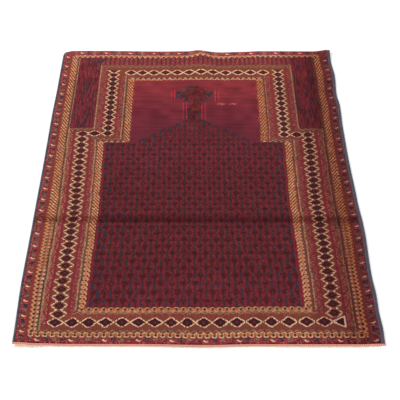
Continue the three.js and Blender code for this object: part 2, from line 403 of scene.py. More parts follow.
@dataclass
class RugLie:
    """Where each place of the flat, straight rug lies on the floor, in millimetres."""

    width: float = 844.0
    length: float = 1336.0
    thickness: float = 7.0
    rim_thickness: float = 5.0
    rim_width: float = 3.0
    round_corner: float = 27.0
    side_reach: float = 90.0
    end_reach: float = 170.0
    crease_place: float = -200.0
    crease_half: float = 17.0
    ridge_flank: float = 1.6
    curl_reach: float = 48.0
    curl_height: float = 6.5
    curl_steepness: float = 1.6
    # place along the side, and how far outside its straight line the edge lies
    left_edge: Table = (
        (-668, -1), (-450, 2.5), (-200, 1), (60, 0), (290, 0.5), (450, -1.5), (668, -2),
    )
    right_edge: Table = (
        (-668, 0), (-620, 1.5), (-560, -0.5), (-500, 1), (-430, -1.5), (-250, 2.5), (-120, -1.5),
        (80, -4), (220, -3), (350, 0.5), (410, -3), (530, 2.5), (600, -1), (668, 0),
    )
    near_edge: Table = (
        (-422, -6), (-370, -2), (-290, 0), (-130, 0), (20, 3), (125, 0), (370, 0), (422, -2),
    )
    far_edge: Table = (
        (-422, 0), (-300, 1), (-120, -2), (-30, 0), (30, 0), (80, -6), (150, -2), (210, 3), (422, 2.5),
    )
    # distance back from the far end, then the ridge's height, its place and its half width
    end_ridge: Table = (
        (0, 4.5, 8, 24), (24, 10.5, 14, 26), (60, 7.5, 20, 30), (120, 3.8, 22, 42),
        (200, 1, 22, 60), (260, 0, 22, 60),
    )
    # place across the rug, and the crease's height there
    crease_height: Table = (
        (-422, 0.4), (-320, 1.4), (-120, 2.2), (60, 1.8), (300, 2.4), (422, 0.6),
    )

    def lift(self, x: np.ndarray, y: np.ndarray) -> np.ndarray:
        """Finds how high the underside lies above the floor.

        Args:
            x: Places across the flat rug.
            y: Places along the flat rug.

        Returns:
            Heights in millimetres.
        """
        back = self.length / 2 - y
        from_top = np.abs(x - read_table(self.end_ridge, 2, back)) / read_table(self.end_ridge, 3, back)
        ridge = read_table(self.end_ridge, 1, back) * (1 - ease(from_top / self.ridge_flank))
        from_crease = np.abs(y - self.crease_place) / (2 * self.crease_half)
        crease = read_table(self.crease_height, 1, x) * (1 - ease(from_crease))
        from_corner = np.hypot(self.width / 2 - x, back) / self.curl_reach
        curl = self.curl_height * np.maximum(0, 1 - from_corner) ** self.curl_steepness
        return ridge + crease + curl

    def lay(self, flat_x: np.ndarray, flat_y: np.ndarray) -> tuple[np.ndarray, np.ndarray]:
        """Moves places on the flat rug to where they lie: the edges wander, a corner is rounded.

        Args:
            flat_x: Places across the flat rug.
            flat_y: Places along the flat rug.

        Returns:
            The places on the floor.
        """
        half_wide, half_long, radius = self.width / 2, self.length / 2, self.round_corner
        a = (radius - (flat_x + half_wide)) / radius
        b = (radius - (half_long - flat_y)) / radius
        rounded = (a > 0) & (b > 0)
        a, b = np.clip(a, 0, 1), np.clip(b, 0, 1)
        x = np.where(rounded, radius - half_wide - radius * a * np.sqrt(1 - b * b / 2), flat_x)
        y = np.where(rounded, half_long - radius + radius * b * np.sqrt(1 - a * a / 2), flat_y)
        near_left = 1 - ease((flat_x + half_wide) / self.side_reach)
        near_right = 1 - ease((half_wide - flat_x) / self.side_reach)
        near_front = 1 - ease((flat_y + half_long) / self.end_reach)
        near_back = 1 - ease((half_long - flat_y) / self.end_reach)
        x = x - near_left * read_table(self.left_edge, 1, flat_y)
        x = x + near_right * read_table(self.right_edge, 1, flat_y)
        y = y - near_front * read_table(self.near_edge, 1, flat_x)
        y = y + near_back * read_table(self.far_edge, 1, flat_x)
        return x, y

    def shift(self) -> np.ndarray:
        """Finds how far the rug is moved so that its knotted sheet sits on its CAD node.

        Returns:
            The move in metres.
        """
        low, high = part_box("rug_body")
        side = np.linspace(-self.length / 2, self.length / 2, EDGE_SAMPLES)
        end = np.linspace(-self.width / 2, self.width / 2, EDGE_SAMPLES)
        left = self.lay(np.full_like(side, -self.width / 2), side)[0].min()
        right = self.lay(np.full_like(side, self.width / 2), side)[0].max()
        near = self.lay(end, np.full_like(end, -self.length / 2))[1].min()
        far = self.lay(end, np.full_like(end, self.length / 2))[1].max()
        return np.array([
            (low[0] + high[0]) / 2 - (left + right) / 2 * MM,
            (low[1] + high[1]) / 2 - (near + far) / 2 * MM,
            0.0,
        ])


@dataclass
class Edge:
    """The stations of one edge of the rug, in order around it with the sheet on the left."""

    lie: RugLie
    flat_x: np.ndarray
    flat_y: np.ndarray
    spots: np.ndarray = field(init=False)
    outward: np.ndarray = field(init=False)
    lift: np.ndarray = field(init=False)
    travel: np.ndarray = field(init=False)

    def __post_init__(self) -> None:
        """Lays the stations down and finds the way out from each."""
        self.spots = np.stack(self.lie.lay(self.flat_x, self.flat_y), 1)
        way = np.gradient(self.spots, axis=0)
        way /= np.linalg.norm(way, axis=1, keepdims=True)
        self.outward = np.stack([way[:, 1], -way[:, 0]], 1)
        self.lift = self.lie.lift(self.flat_x, self.flat_y)
        steps = np.linalg.norm(np.diff(self.spots, axis=0), axis=1)
        self.travel = np.concatenate([[0.0], np.cumsum(steps)])

    def place(self, out: np.ndarray, up: np.ndarray) -> np.ndarray:
        """Finds points beside the edge.

        Args:
            out: How far out from the rim, a row for each station.
            up: How high above the underside, a row for each station.

        Returns:
            Points in millimetres, in the same rows.
        """
        across = self.spots[:, None, :] + self.outward[:, None, :] * out[:, :, None]
        height = self.lift[:, None] + up
        return np.concatenate([across, height[:, :, None]], 2)


def sweep(sections: np.ndarray) -> tuple[np.ndarray, list]:
    """Joins closed sections into one tube with closed ends.

    Args:
        sections: Points of each section, anticlockwise seen against the direction of travel.

    Returns:
        The corners and the faces.
    """
    count, around = sections.shape[:2]
    first = (np.arange(count - 1)[:, None] * around + np.arange(around)[None, :]).ravel()
    beside = (np.arange(count - 1)[:, None] * around + (np.arange(around)[None, :] + 1) % around).ravel()
    faces = np.stack([first, first + around, beside + around, beside], 1).tolist()
    faces.append(list(range(around)))
    faces.append([(count - 1) * around + i for i in reversed(range(around))])
    return sections.reshape(-1, 3), faces


# The knot chart

FIELD_MOTIF = (
    "npkmbbbbbbmkpn",
    "npkbbbbbbbbkpn",
    "npmbbbddbbbmpn",
    "npmbbddddbbmpn",
    "npmbbddddbbmpn",
    "npmbbbddbbbmpn",
    "npkbbbddbbbkpn",
    "npkmbbbbbbmkpn",
    "npkkmbddbmkkpn",
    "npkwkmbbmkwkpn",
    "npkwkmbbmkwkpn",
    "npkkwmbbmwkkpn",
    "npkkwmbbmwkkpn",
    "nppkkmbbmkkppn",
)

HOOK = (
    "hc....",
    "cch...",
    ".cccch",
    "..hhs.",
)

# one wave of the outer near scroll: orange under the wave, a dark dot between two waves
OUTER_WAVE = (
    "chvuuuvh",
    "hhcvuvch",
    "oohhshho",
    "oohvdvho",
    "oohddvho",
    "oohvdvho",
    "uhchvhcu",
    "uuhccchu",
    "uuuhhhuu",
)

# one wave of the inner near scroll: dark under the wave, orange between two waves
INNER_WAVE = (
    "uuuohhou",
    "uuohchhu",
    "uoohvvho",
    "oohhddvh",
    "oohvddvh",
    "oohhvvho",
    "hohhvvhh",
    "hhhvyyvh",
    "hhyyyyyh",
)

# one dot of the outer side scrolls
DOTTED = (
    "uuohhoohcu",
    "uuohhooohc",
    "ohhovvvhhu",
    "ohhvddvsuv",
    "ohhvddvsuv",
    "uohhvvhsov",
    "uuohhooohc",
)

# one turn of the inner side scrolls: an orange blob in a ring, then a dark dot
RINGED = (
    "vuhhhhuuue",
    "vhhoohhuue",
    "uhhooohhue",
    "vhhoohhhue",
    "vvhhhhhhhe",
    "vvvshvdhhe",
    "vvvsvddhhe",
    "vvushvdhhe",
)

HEAD_OUTLINE: Table = (
    # row, left column, right column
    (485, 187, 209), (488, 184, 211), (491, 182, 213), (498, 177, 218), (503, 171, 224),
    (509, 171, 224), (515, 177, 218), (521, 183, 213), (531, 191, 207),
)


@dataclass(frozen=True)
class Spacing:
    """Repeats that a weaver counts out along a band, wider in some stretches than in others."""

    first: float
    last: float
    count: int
    swell: float = 0.0  # share by which the repeats are wider at both ends and narrower half way
    lean: float = 0.0  # share by which they are wider at the first end and narrower at the last

    def places(self) -> np.ndarray:
        """Spaces the middles of the repeats.

        Returns:
            Place of the middle of every repeat.
        """
        share = np.linspace(0, 1, self.count)
        swollen = share + self.swell * np.sin(2 * np.pi * share) / (2 * np.pi)
        return self.first + (self.last - self.first) * (swollen + self.lean * share * (1 - share))


@dataclass
class KnotChart:
    """The whole rug charted in knots: columns from the left, rows from the near end."""

    # how many columns each border strays inward half way along, at which row, and how far it reaches
    left_drift: tuple[float, float, float] = (2.7, 240.0, 105.0)
    right_drift: tuple[float, float, float] = (-2.7, 265.0, 115.0)
    drift_sides: tuple[float, float] = (76.0, 322.0)  # columns outside which it holds in full
    slant: float = 4.0  # rows by which the weaving climbs from the left side to the right
    seed: int = 11
    lattice_left: float = 44.0
    lattice_right: float = 355.5
    upper_left: float = 78.5
    upper_right: float = 323.0
    left_lozenges: Spacing = Spacing(44.6, 407.6, 29, 0.08, 0.03)
    right_lozenges: Spacing = Spacing(44.5, 403.5, 29, 0.10, 0.03)
    upper_left_lozenges: Spacing = Spacing(407.6, 563.2, 13, 0.0, 0.04)
    upper_right_lozenges: Spacing = Spacing(404, 563.8, 13)
    near_lozenges: Spacing = Spacing(42, 343, 17, 0.03, -0.04)
    far_lozenges: Spacing = Spacing(104, 301, 12, 0.0, -0.06)
    field_columns: Spacing = Spacing(79, 317, 18, 0.06)
    field_rows: Spacing = Spacing(66, 436, 32, 0.07, 0.14)
    # the gable: its near and far row, then the foot of each slope and how many columns it takes
    gable_rows: tuple[float, float] = (388.0, 438.0)
    gable_left: tuple[float, float] = (122.0, 64.0)
    gable_right: tuple[float, float] = (274.0, 62.0)
    gable_steps: int = 13
    guard_cell: float = 9.28  # columns of one cell of the end guards
    worn_from: float = 124.0  # row past which the side scrolls are worn and dull
    far_from: float = 500.0  # row past which a lozenge across the rug has the far ones' form
    dyes: np.ndarray = field(init=False)
    column: np.ndarray = field(init=False)
    row: np.ndarray = field(init=False)
    draw: np.random.Generator = field(init=False)

    def __post_init__(self) -> None:
        """Starts with plain maroon, the middle of every knot and the draw for the mixed wools."""
        self.dyes = np.full((KNOTS_LONG, KNOTS_WIDE), int(Dye.MAROON), np.uint8)
        self.row, self.column = np.mgrid[0:KNOTS_LONG, 0:KNOTS_WIDE] + 0.5
        self.draw = np.random.default_rng(self.seed)

    def fill(self, left: float, right: float, near: float, far: float, dye: Dye) -> None:
        """Fills a rectangle of knots with one dye."""
        self.dyes[round(near) : round(far), round(left) : round(right)] = dye

    def paint(self, where: np.ndarray, dye: Dye) -> None:
        """Gives the knots of a mask one dye."""
        self.dyes[where] = dye

    def inside(
        self, left: float | np.ndarray, right: float | np.ndarray, near: float, far: float
    ) -> np.ndarray:
        """Returns the mask of the knots between two columns, or two lines of them, and two rows."""
        return (self.column > left) & (self.column < right) & (self.row > near) & (self.row < far)

    def stamp(self, motif: tuple[str, ...], left: float, near: float) -> None:
        """Ties a charted motif, whose first line is its far row; a dot leaves the knot as it is.

        Args:
            motif: The lines of letters.
            left: First column.
            near: First row.

        Returns:
            Nothing.
        """
        for up, line in enumerate(reversed(motif)):
            for over, letter in enumerate(line):
                r, c = round(near) + up, round(left) + over
                if letter != "." and 0 <= r < KNOTS_LONG and 0 <= c < KNOTS_WIDE:
                    self.dyes[r, c] = LETTERS[letter]

    def repeat(
        self, motif: tuple[str, ...], where: np.ndarray, across: np.ndarray, along: np.ndarray,
    ) -> None:
        """Repeats a charted motif over a mask.

        Args:
            motif: The lines of letters, the first one farthest.
            where: The knots to tie.
            across: Place of every knot in repeats across; its whole part is left out.
            along: Place of every knot in repeats along.

        Returns:
            Nothing.
        """
        table = np.array([[LETTERS.get(x, LEFT_OPEN) for x in line] for line in reversed(motif)])
        tall, wide = table.shape
        r = np.floor((along - np.floor(along)) * tall).astype(int).clip(0, tall - 1)
        c = np.floor((across - np.floor(across)) * wide).astype(int).clip(0, wide - 1)
        tied = table[r, c]
        chosen = where & (tied != LEFT_OPEN)
        self.dyes[chosen] = tied[chosen]

    def flecked(self, where: np.ndarray, mix: tuple[tuple[Dye, float], ...]) -> None:
        """Ties a mask in wools mixed knot by knot.

        Args:
            where: The knots to tie.
            mix: Each dye and its share.

        Returns:
            Nothing.
        """
        drawn = self.draw.choice(len(mix), self.dyes.shape, p=[share for _, share in mix])
        for number, (dye, _) in enumerate(mix):
            self.paint(where & (drawn == number), dye)

    # Borders

    def lozenge(self, c: float, r: float, wide: float, long: float, waist: float, upright: bool) -> None:
        """Ties one lozenge of the lattice: cream outline, black-brown fill and a plum heart.

        Args:
            c: Its middle column.
            r: Its middle row.
            wide: Half its size across the lattice band.
            long: Half the distance to the next lozenge along the band.
            waist: Half the outline's opening between two lozenges.
            upright: Whether the band runs away from the viewer.

        Returns:
            Nothing.
        """
        along, across = (self.row - r, self.column - c) if upright else (self.column - c, self.row - r)
        v, u = np.abs(along), np.abs(across)
        strip = v <= long
        near_form = not upright and r < self.far_from
        if upright:
            step = v * 6.8 / long
            outline = np.interp(step, (0, 2.5, 4.7, 6.6), (wide, wide - 2.4, wide - 4.6, waist))
            blob = ((u < 5.3) & (step < 1.7)) | ((u < 4.0) & (step < 3.0)) | ((u < 2.3) & (step < 4.7))
            beads = (np.abs(step - 2.5) < 1.1) | (step > 5.6)
        elif near_form:
            outline = np.interp(v * 9.3 / long, (0, 1.8, 3.4, 6.4, 9.3), (wide, wide - 0.3, 5.2, 2.8, 0))
            blob = ((v < 2.4) & (u < 6.0)) | ((v < 4.2) & (u < 4.0)) | ((v < 5.9) & (u < 2.3))
            beads = (np.abs(v - 3.4) < 1.1) | (np.abs(v - 6.4) < 1.1) | (v > 8.2)
        else:
            outline = np.interp(v, (0, 1.6, 4.2, long), (wide, wide - 0.3, 4.8, 0))
            blob = ((v < 2.2) & (u < 4.4)) | ((v < 5.2) & (u < 1.8))
            beads = v > 1.6
        inner = strip & (u < outline)
        self.paint(inner, Dye.RUST)
        self.paint(inner & blob, Dye.BLACK_BROWN)
        self.flecked(inner & (u < 1.6) & (v < 1.6), ((Dye.PLUM, 0.75), (Dye.DARK_CRIMSON, 0.25)))
        if upright:
            self.paint(strip & (v < 1.3) & (u > 6.2) & (u < wide - 0.9), Dye.DARK_OLIVE)
            tie = inner & (step > 5.4) & (u < waist - 0.6)
            self.flecked(tie, ((Dye.DARK_OLIVE, 0.5), (Dye.ROSE, 0.3), (Dye.NAVY, 0.2)))
        edge = strip & (np.abs(u - outline) < 0.8)
        self.flecked(edge, ((Dye.CREAM, 0.25), (Dye.PEACH, 0.35), (Dye.ROSE, 0.25), (Dye.RUST, 0.15)))
        thick = 0.9 if near_form else 1.1
        self.paint(strip & beads & (np.abs(u - outline) < thick), Dye.CREAM)

    def lozenge_column(
        self, c: float, wide: float, rows: np.ndarray, near: float, far: float,
    ) -> None:
        """Ties a lattice band that runs away from the viewer.

        Args:
            c: The band's middle column.
            wide: Half the lozenges' width.
            rows: The middle row of every lozenge.
            near: Where the first lozenge starts.
            far: Where the last one ends.

        Returns:
            Nothing.
        """
        stops = [near, *[(a + b) / 2 for a, b in zip(rows, rows[1:])], far]
        for i, r in enumerate(rows):
            middle = (stops[i] + stops[i + 1]) / 2
            self.lozenge(c, (middle + r) / 2, wide, (stops[i + 1] - stops[i]) / 2, 3.1, True)

    def zigzag(self, where: np.ndarray, centre: float, swing: float, period: float, along: np.ndarray,
               across: np.ndarray, dye: Dye, thick: float) -> None:
        """Ties one zigzag line.

        Args:
            where: The knots it may take.
            centre: Its middle line.
            swing: How far it goes to each side.
            period: Length of one repeat in knots.
            along: Place of every knot along it.
            across: Place of every knot across it.
            dye: Its dye.
            thick: Half its thickness.

        Returns:
            Nothing.
        """
        turn = np.abs((along / period) % 1 - 0.5) * 4 - 1
        self.paint(where & (np.abs(across - centre - swing * turn) < thick), dye)

    def scroll_row(self, near: float, far: float, left: float, right: float, crest: float,
                   period: float, motif: tuple[str, ...], orange: float) -> None:
        """Ties a running scroll along an end.

        Args:
            near: First row.
            far: Last row.
            left: First column.
            right: Last column.
            crest: First column of one wave.
            period: Length of one wave in knots.
            motif: The lines of one wave.
            orange: Share of the peach knots tied in orange instead.

        Returns:
            Nothing.
        """
        band = self.inside(left, right, near, far)
        turn = (self.column - crest) / period
        self.repeat(motif, band, turn, (self.row - near) / (far - near) * JUST_UNDER)
        warm = band & (self.dyes == Dye.PEACH) & (self.draw.uniform(0, 1, turn.shape) < orange)
        self.paint(warm, Dye.ORANGE)

    def toothed_row(self, near: float, far: float, left: float, right: float, tip: float,
                    period: float, upward: bool) -> None:
        """Ties a row of orange teeth with light edges.

        Args:
            near: First row.
            far: Last row.
            left: First column.
            right: Last column.
            tip: Column of the tip of one tooth.
            period: Width of one tooth in knots.
            upward: Whether the tips point away from the viewer.

        Returns:
            Nothing.
        """
        band = self.inside(left, right, near, far)
        side = np.abs(((self.column - tip) / period + 0.5) % 1 - 0.5) * 2
        high = (self.row - near) / (far - near)
        reach = (1 - side) - (high if upward else 1 - high)
        self.flecked(band, ((Dye.DARK_OLIVE, 0.45), (Dye.RUST, 0.35), (Dye.PLUM, 0.2)))
        self.flecked(band & (reach > 0.12), ((Dye.ORANGE, 0.75), (Dye.PEACH, 0.25)))
        self.flecked(band & (np.abs(reach) < 0.14), ((Dye.PEACH, 0.7), (Dye.CREAM, 0.3)))

    def turns(self, pitches: Table) -> np.ndarray:
        """Counts repeats along the rug.

        Args:
            pitches: Row and pitch of the repeat there.

        Returns:
            How many repeats lie before each row, as one column.
        """
        return np.cumsum(1 / read_table(pitches, 1, np.arange(KNOTS_LONG) + 0.5))[:, None]

    def scroll_side(self, left: float, near: float, far: float, mirrored: bool, striped_from: float,
                    first: float, pitches: Table, motif: tuple[str, ...], bright: float) -> None:
        """Ties the running scroll along a side: small scrolls first, slanting strokes farther on.

        Args:
            left: First column of its ten.
            near: First row.
            far: Last row.
            mirrored: Whether it is seen in a mirror.
            striped_from: The row where the scrolls give way to strokes.
            first: Row where one of the scrolls starts.
            pitches: Row and pitch of the scrolls there.
            motif: The lines of one scroll.
            bright: Share of cream in the light strokes; below nothing, the share of orange it adds.

        Returns:
            Nothing.
        """
        band = self.inside(left, left + 10, near, far)
        over = self.column - left
        inward = 10 - over if mirrored else over
        turn = self.turns(pitches)
        turn = np.broadcast_to(turn - turn[round(first), 0] + 1, over.shape)
        scrolled = band & (self.row < striped_from)
        self.repeat(motif, scrolled, inward / 10 * JUST_UNDER, turn)
        faint = scrolled & (self.row > self.worn_from)
        for old, new, share in (
            (Dye.BLACK_BROWN, Dye.DARK_OLIVE, 1.0),
            (Dye.CREAM, Dye.PEACH, 1.0),
            (Dye.PEACH, Dye.ORANGE, 0.25),
        ):
            chance = self.draw.uniform(0, 1, self.row.shape) < share
            self.paint(faint & (self.dyes == old) & chance, new)
        strokes = band & (self.row >= striped_from)
        lean = (turn + inward / 4.1) % 1
        orange = 0.38 - bright
        light = ((Dye.PEACH, 0.62 + min(0, bright)), (Dye.CREAM, max(0, bright)), (Dye.ORANGE, orange))
        deep = ((Dye.RUST, 0.4), (Dye.BLACK_BROWN, 0.25), (Dye.BROWN, 0.35))
        self.flecked(strokes, ((Dye.ORANGE, 0.75), (Dye.RUST, 0.25)))
        self.flecked(strokes & (lean < 0.48), light)
        self.flecked(strokes & (lean > 0.54) & (lean < 0.86) & (inward < 8.6), deep)
        self.flecked(strokes & (inward < 1.0), ((Dye.RUST, 0.6), (Dye.ORANGE, 0.4)))
        self.flecked(strokes & (inward > 9.0), ((Dye.DARK_OLIVE, 0.5), (Dye.ORANGE, 0.5)))

    def leafy_side(self, left: float, right: float, near: float, far: float, red_left: bool,
                   vine: Dye = Dye.DARK_OLIVE) -> None:
        """Ties a leafy vine band along a side of the lattice, on brown-red.

        Args:
            left: First column.
            right: Last column.
            near: First row.
            far: Last row.
            red_left: Whether its red side is on the left.
            vine: Dye of the vine.

        Returns:
            Nothing.
        """
        band = self.inside(left, right, near, far)
        middle, swing = (left + right) / 2, (right - left) / 2 - 1
        reds = ((Dye.RED_WINE, 0.28), (Dye.CRIMSON, 0.08), (Dye.ROSE, 0.08))
        self.flecked(band, ((Dye.RUST, 0.38), (vine, 0.18), *reds))
        leaf = (self.row + np.abs(self.column - middle)) % 6.4
        self.paint(band & (leaf < 1.2) & (self.column % 3 < 2), Dye.ROSE)
        self.paint(band & (leaf > 3) & (leaf < 4.2) & (self.column % 4 < 3), vine)
        self.zigzag(band, middle, swing, 23, self.row + 8, self.column, Dye.DARK_CRIMSON, 0.7)
        edge = left + 1 if red_left else right - 1
        self.flecked(
            band & (np.abs(self.column - edge) < 1.2),
            ((Dye.CRIMSON, 0.1), (Dye.DARK_CRIMSON, 0.4), (Dye.RED_WINE, 0.5)),
        )

    def leafy_row(
        self, near: float, far: float, left: float, right: float, vine: Dye = Dye.OLIVE,
    ) -> None:
        """Ties a leafy zigzag band across the rug, on brown-red.

        Args:
            near: First row.
            far: Last row.
            left: First column.
            right: Last column.
            vine: Dye of the vine.

        Returns:
            Nothing.
        """
        band = self.inside(left, right, near, far)
        middle, swing = (near + far) / 2, (far - near) / 2 - 1
        ground = ((Dye.RUST, 0.34), (Dye.DARK_OLIVE, 0.36))
        self.flecked(band, (*ground, (vine, 0.06), (Dye.RED_WINE, 0.18), (Dye.BROWN, 0.06)))
        self.zigzag(band, middle, swing, 8.2, self.column, self.row, vine, 0.6)

    def guard_side(self, left: int, hooks_from: float, outer_left: bool) -> None:
        """Ties the outer guard along a side: hooks and blocks between two crimson lines.

        Args:
            left: First column of its twelve.
            hooks_from: Row of the first cream hook.
            outer_left: Whether the outer line is on the left.

        Returns:
            Nothing.
        """
        band = self.inside(left, left + 12, 0, KNOTS_LONG)
        ground = ((Dye.RED_WINE, 0.42), (Dye.ROSE, 0.12), (Dye.DARK_OLIVE, 0.24), (Dye.PLUM, 0.22))
        self.flecked(band, ground)
        out = self.column - left if outer_left else left + 12 - self.column
        self.flecked(band & (out < 1.6), ((Dye.DARK_CRIMSON, 0.6), (Dye.ROSE, 0.4)))
        self.flecked(band & (out > 9.4), ((Dye.RED_WINE, 0.6), (Dye.RUST, 0.4)))
        r = hooks_from
        inner = left + (3 if outer_left else 4)
        warm = ((Dye.CRIMSON, 0.6), (Dye.ORANGE, 0.4))
        slate = ((Dye.NAVY, 0.6), (Dye.PLUM, 0.25), (Dye.ROSE, 0.15))
        green = ((Dye.DARK_OLIVE, 0.6), (Dye.OLIVE, 0.3), (Dye.RED_WINE, 0.1))
        while r < KNOTS_LONG - 16:
            pitch = 26.2 - 3.2 * math.sin(math.pi * min(1, r / 420)) ** 2
            near = r - 3
            self.stamp(HOOK if outer_left else tuple(line[::-1] for line in HOOK), inner, near)
            self.flecked(self.inside(inner, inner + 5, near - 3, near - 1), warm)
            self.flecked(self.inside(inner, inner + 6, near - 9, near - 3.4), slate)
            self.flecked(self.inside(inner + 1, inner + 5, near - 16, near - 12), green)
            self.fill(inner, inner + 5.4, near + 7, near + 8.4, Dye.DARK_CRIMSON)
            r += pitch

    def guard_row(self, near: int, far: int, left: float, right: float, first: float) -> None:
        """Ties the outer guard across an end: four cells in turn between crimson bars.

        Args:
            near: First row.
            far: Last row.
            left: First column.
            right: Last column.
            first: Column of the first cream hook's cell.

        Returns:
            Nothing.
        """
        band = self.inside(left, right, near, far)
        self.paint(band, Dye.MAROON)
        cell = self.guard_cell
        turn = (self.column - first) / cell
        kind = np.floor(turn).astype(int) % 4
        over = (turn - np.floor(turn)) * cell
        slate = ((Dye.NAVY, 0.6), (Dye.PLUM, 0.2), (Dye.ROSE, 0.2))
        green = ((Dye.DARK_OLIVE, 0.6), (Dye.OLIVE, 0.2), (Dye.ROSE, 0.2))
        plum = ((Dye.PLUM, 0.6), (Dye.ROSE, 0.2), (Dye.DARK_OLIVE, 0.2))
        ground = ((Dye.RED_WINE, 0.42), (Dye.ROSE, 0.1), (Dye.DARK_OLIVE, 0.24), (Dye.PLUM, 0.24))
        self.flecked(band & (over < 7.6), ground)
        for number, mix in ((1, slate), (2, green), (3, plum)):
            self.flecked(band & (over > 1.6) & (over < 7.0) & (kind == number), mix)
        self.flecked(band & (over > 7.6), ((Dye.CRIMSON, 0.4), (Dye.RED_WINE, 0.6)))
        if near == 0:
            reds = ((Dye.CRIMSON, 0.15), (Dye.ROSE, 0.15), (Dye.RED_WINE, 0.5), (Dye.PLUM, 0.2))
            self.flecked(band & (self.row < 1.6), reds)
        c = first
        while c < right - 8:
            if c > left:
                self.stamp(HOOK, c + 1, (near + far) / 2 - 3)
            c += 4 * cell

    # Panels

    def streaked(self, where: np.ndarray, ground: Dye, lively: float) -> None:
        """Ties a dark panel of fine upright streaks.

        Args:
            where: The panel's knots.
            ground: Its ground.
            lively: How far down its wine-red streaks start; the farther, the fewer they are.

        Returns:
            Nothing.
        """
        run = soft_noise(np.floor(self.column), self.row / 11, self.seed + 3)
        run = run + self.draw.uniform(-0.14, 0.14, run.shape)
        steps = (
            (-2.0, Dye.DARK_CRIMSON), (-0.7 - lively, Dye.RED_WINE), (-0.45 - lively, Dye.DARK_CRIMSON),
            (-0.3, Dye.MAROON), (-0.16, Dye.RUST), (-0.08, ground), (0.16, Dye.BROWN), (0.46, Dye.PLUM),
            (0.7, Dye.NAVY),
        )
        for least, dye in steps:
            self.paint(where & (run > least), dye)

    def small_motifs(self) -> None:
        """Ties the field: rows of small motifs between navy bars, each row half a step over."""
        columns = self.field_columns.places()
        halfway = np.append((columns[1:] + columns[:-1]) / 2, 325.0)
        halfway = np.insert(halfway, 0, 73.0)
        rows = self.field_rows.places() - 2.0
        field_area = self.inside(74, 322, 55, 386) | self.arch()
        self.paint(field_area, Dye.PLUM)
        stops = [56.0, *((rows[1:] + rows[:-1]) / 2), 440.0]
        for i in range(len(rows)):
            bars = columns if i % 2 == 0 else halfway
            near, far = stops[i], stops[i + 1]
            strip = field_area & (self.row > near) & (self.row <= far)
            place = np.interp(self.column, bars, np.arange(len(bars)), left=-0.4, right=len(bars) - 0.6)
            self.repeat(FIELD_MOTIF, strip, place, (self.row - near) / (far - near) * JUST_UNDER)
            weak = self.draw.uniform(0, 1, len(bars)) < 0.26
            bar = strip & (self.dyes == Dye.NAVY)
            self.flecked(bar, ((Dye.NAVY, 0.9), (Dye.PLUM, 0.1)))
            faded = bar & weak[np.floor(place + 0.5).astype(int)]
            self.flecked(faded, ((Dye.PLUM, 0.8), (Dye.NAVY, 0.2)))
            for edge in ((bars[0], bars[-1]) if i % 2 == 0 else (bars[1], bars[-2])):
                patch = strip & (np.abs(self.column - edge) < 2.8) & (self.row < far - 2)
                self.flecked(patch, ((Dye.NAVY, 0.8), (Dye.PLUM, 0.2)))
        uneven = soft_noise(self.column / 5, self.row / 9, self.seed + 9)
        uneven += self.draw.uniform(-0.45, 0.45, uneven.shape)
        for least, old, new in ((0.5, Dye.BROWN, Dye.MAROON), (0.6, Dye.RED_WINE, Dye.DARK_CRIMSON)):
            self.paint(field_area & (self.dyes == old) & (uneven > least), new)
        self.paint(field_area & (self.dyes == Dye.MAROON) & (uneven < -0.5), Dye.BROWN)
        stray = field_area & (self.draw.uniform(0, 1, uneven.shape) < 0.15)
        self.flecked(stray, (
            (Dye.MAROON, 0.2), (Dye.BROWN, 0.3), (Dye.RED_WINE, 0.12), (Dye.DARK_CRIMSON, 0.08),
            (Dye.PLUM, 0.06), (Dye.NAVY, 0.12), (Dye.CRIMSON, 0.06), (Dye.DARK_OLIVE, 0.06),
        ))
        muted = field_area & (self.row > 392) & (self.draw.uniform(0, 1, uneven.shape) < 0.4)
        self.flecked(muted & (self.dyes != Dye.NAVY), ((Dye.MAROON, 0.75), (Dye.BROWN, 0.25)))
        self.paint(self.inside(75, 77, 56, 384), Dye.DARK_CRIMSON)
        self.paint(self.inside(319.4, 321, 56, 384), Dye.DARK_CRIMSON)

    def arch(self) -> np.ndarray:
        """Finds the arch's gable, neck and head above the field.

        Returns:
            The mask of their knots.
        """
        near, far = self.gable_rows
        step = np.floor((self.row - near) / (far - near) * self.gable_steps) / self.gable_steps
        foot, wide = self.gable_left
        left = foot + step * wide
        foot, wide = self.gable_right
        right = foot - step * wide
        gable = self.inside(left, right, near - 4, far + 2)
        neck = self.inside(188, 208, 438, 487)
        head_left = read_table(HEAD_OUTLINE, 1, self.row)
        head_right = read_table(HEAD_OUTLINE, 2, self.row)
        return gable | neck | self.inside(head_left, head_right, 485, 531)

    def niche(self) -> None:
        """Ties the plain ground above the field, with a broken line down each side."""
        self.paint(self.inside(109, 290, 386, 548), Dye.WINE)
        self.paint(self.inside(109, 111, 386, 548) & (self.row % 23 < 15), Dye.RED_WINE)
        self.paint(self.inside(288, 290, 386, 548) & (self.row % 29 < 15), Dye.RED_WINE)

    def niche_details(self) -> None:
        """Ties the navy shoulders, the neck's sides, the head's edge and the lines beside them."""
        inside_head = self.inside(170, 227, 486, 531) & self.arch()
        neck = self.inside(188, 208, 438, 488)
        for part in (inside_head, neck):
            self.flecked(part, ((Dye.MAROON, 0.4), (Dye.BROWN, 0.45), (Dye.PLUM, 0.15)))
            run = soft_noise(self.column / 2.2, self.row / 6, self.seed + 8)
            self.paint(part & (run > 0.55), Dye.MAROON)
            self.paint(part & (run < -0.3), Dye.BROWN)
            self.paint(part & (run < -0.6), Dye.BLACK_BROWN)
        slate = ((Dye.NAVY, 0.75), (Dye.PLUM, 0.25))
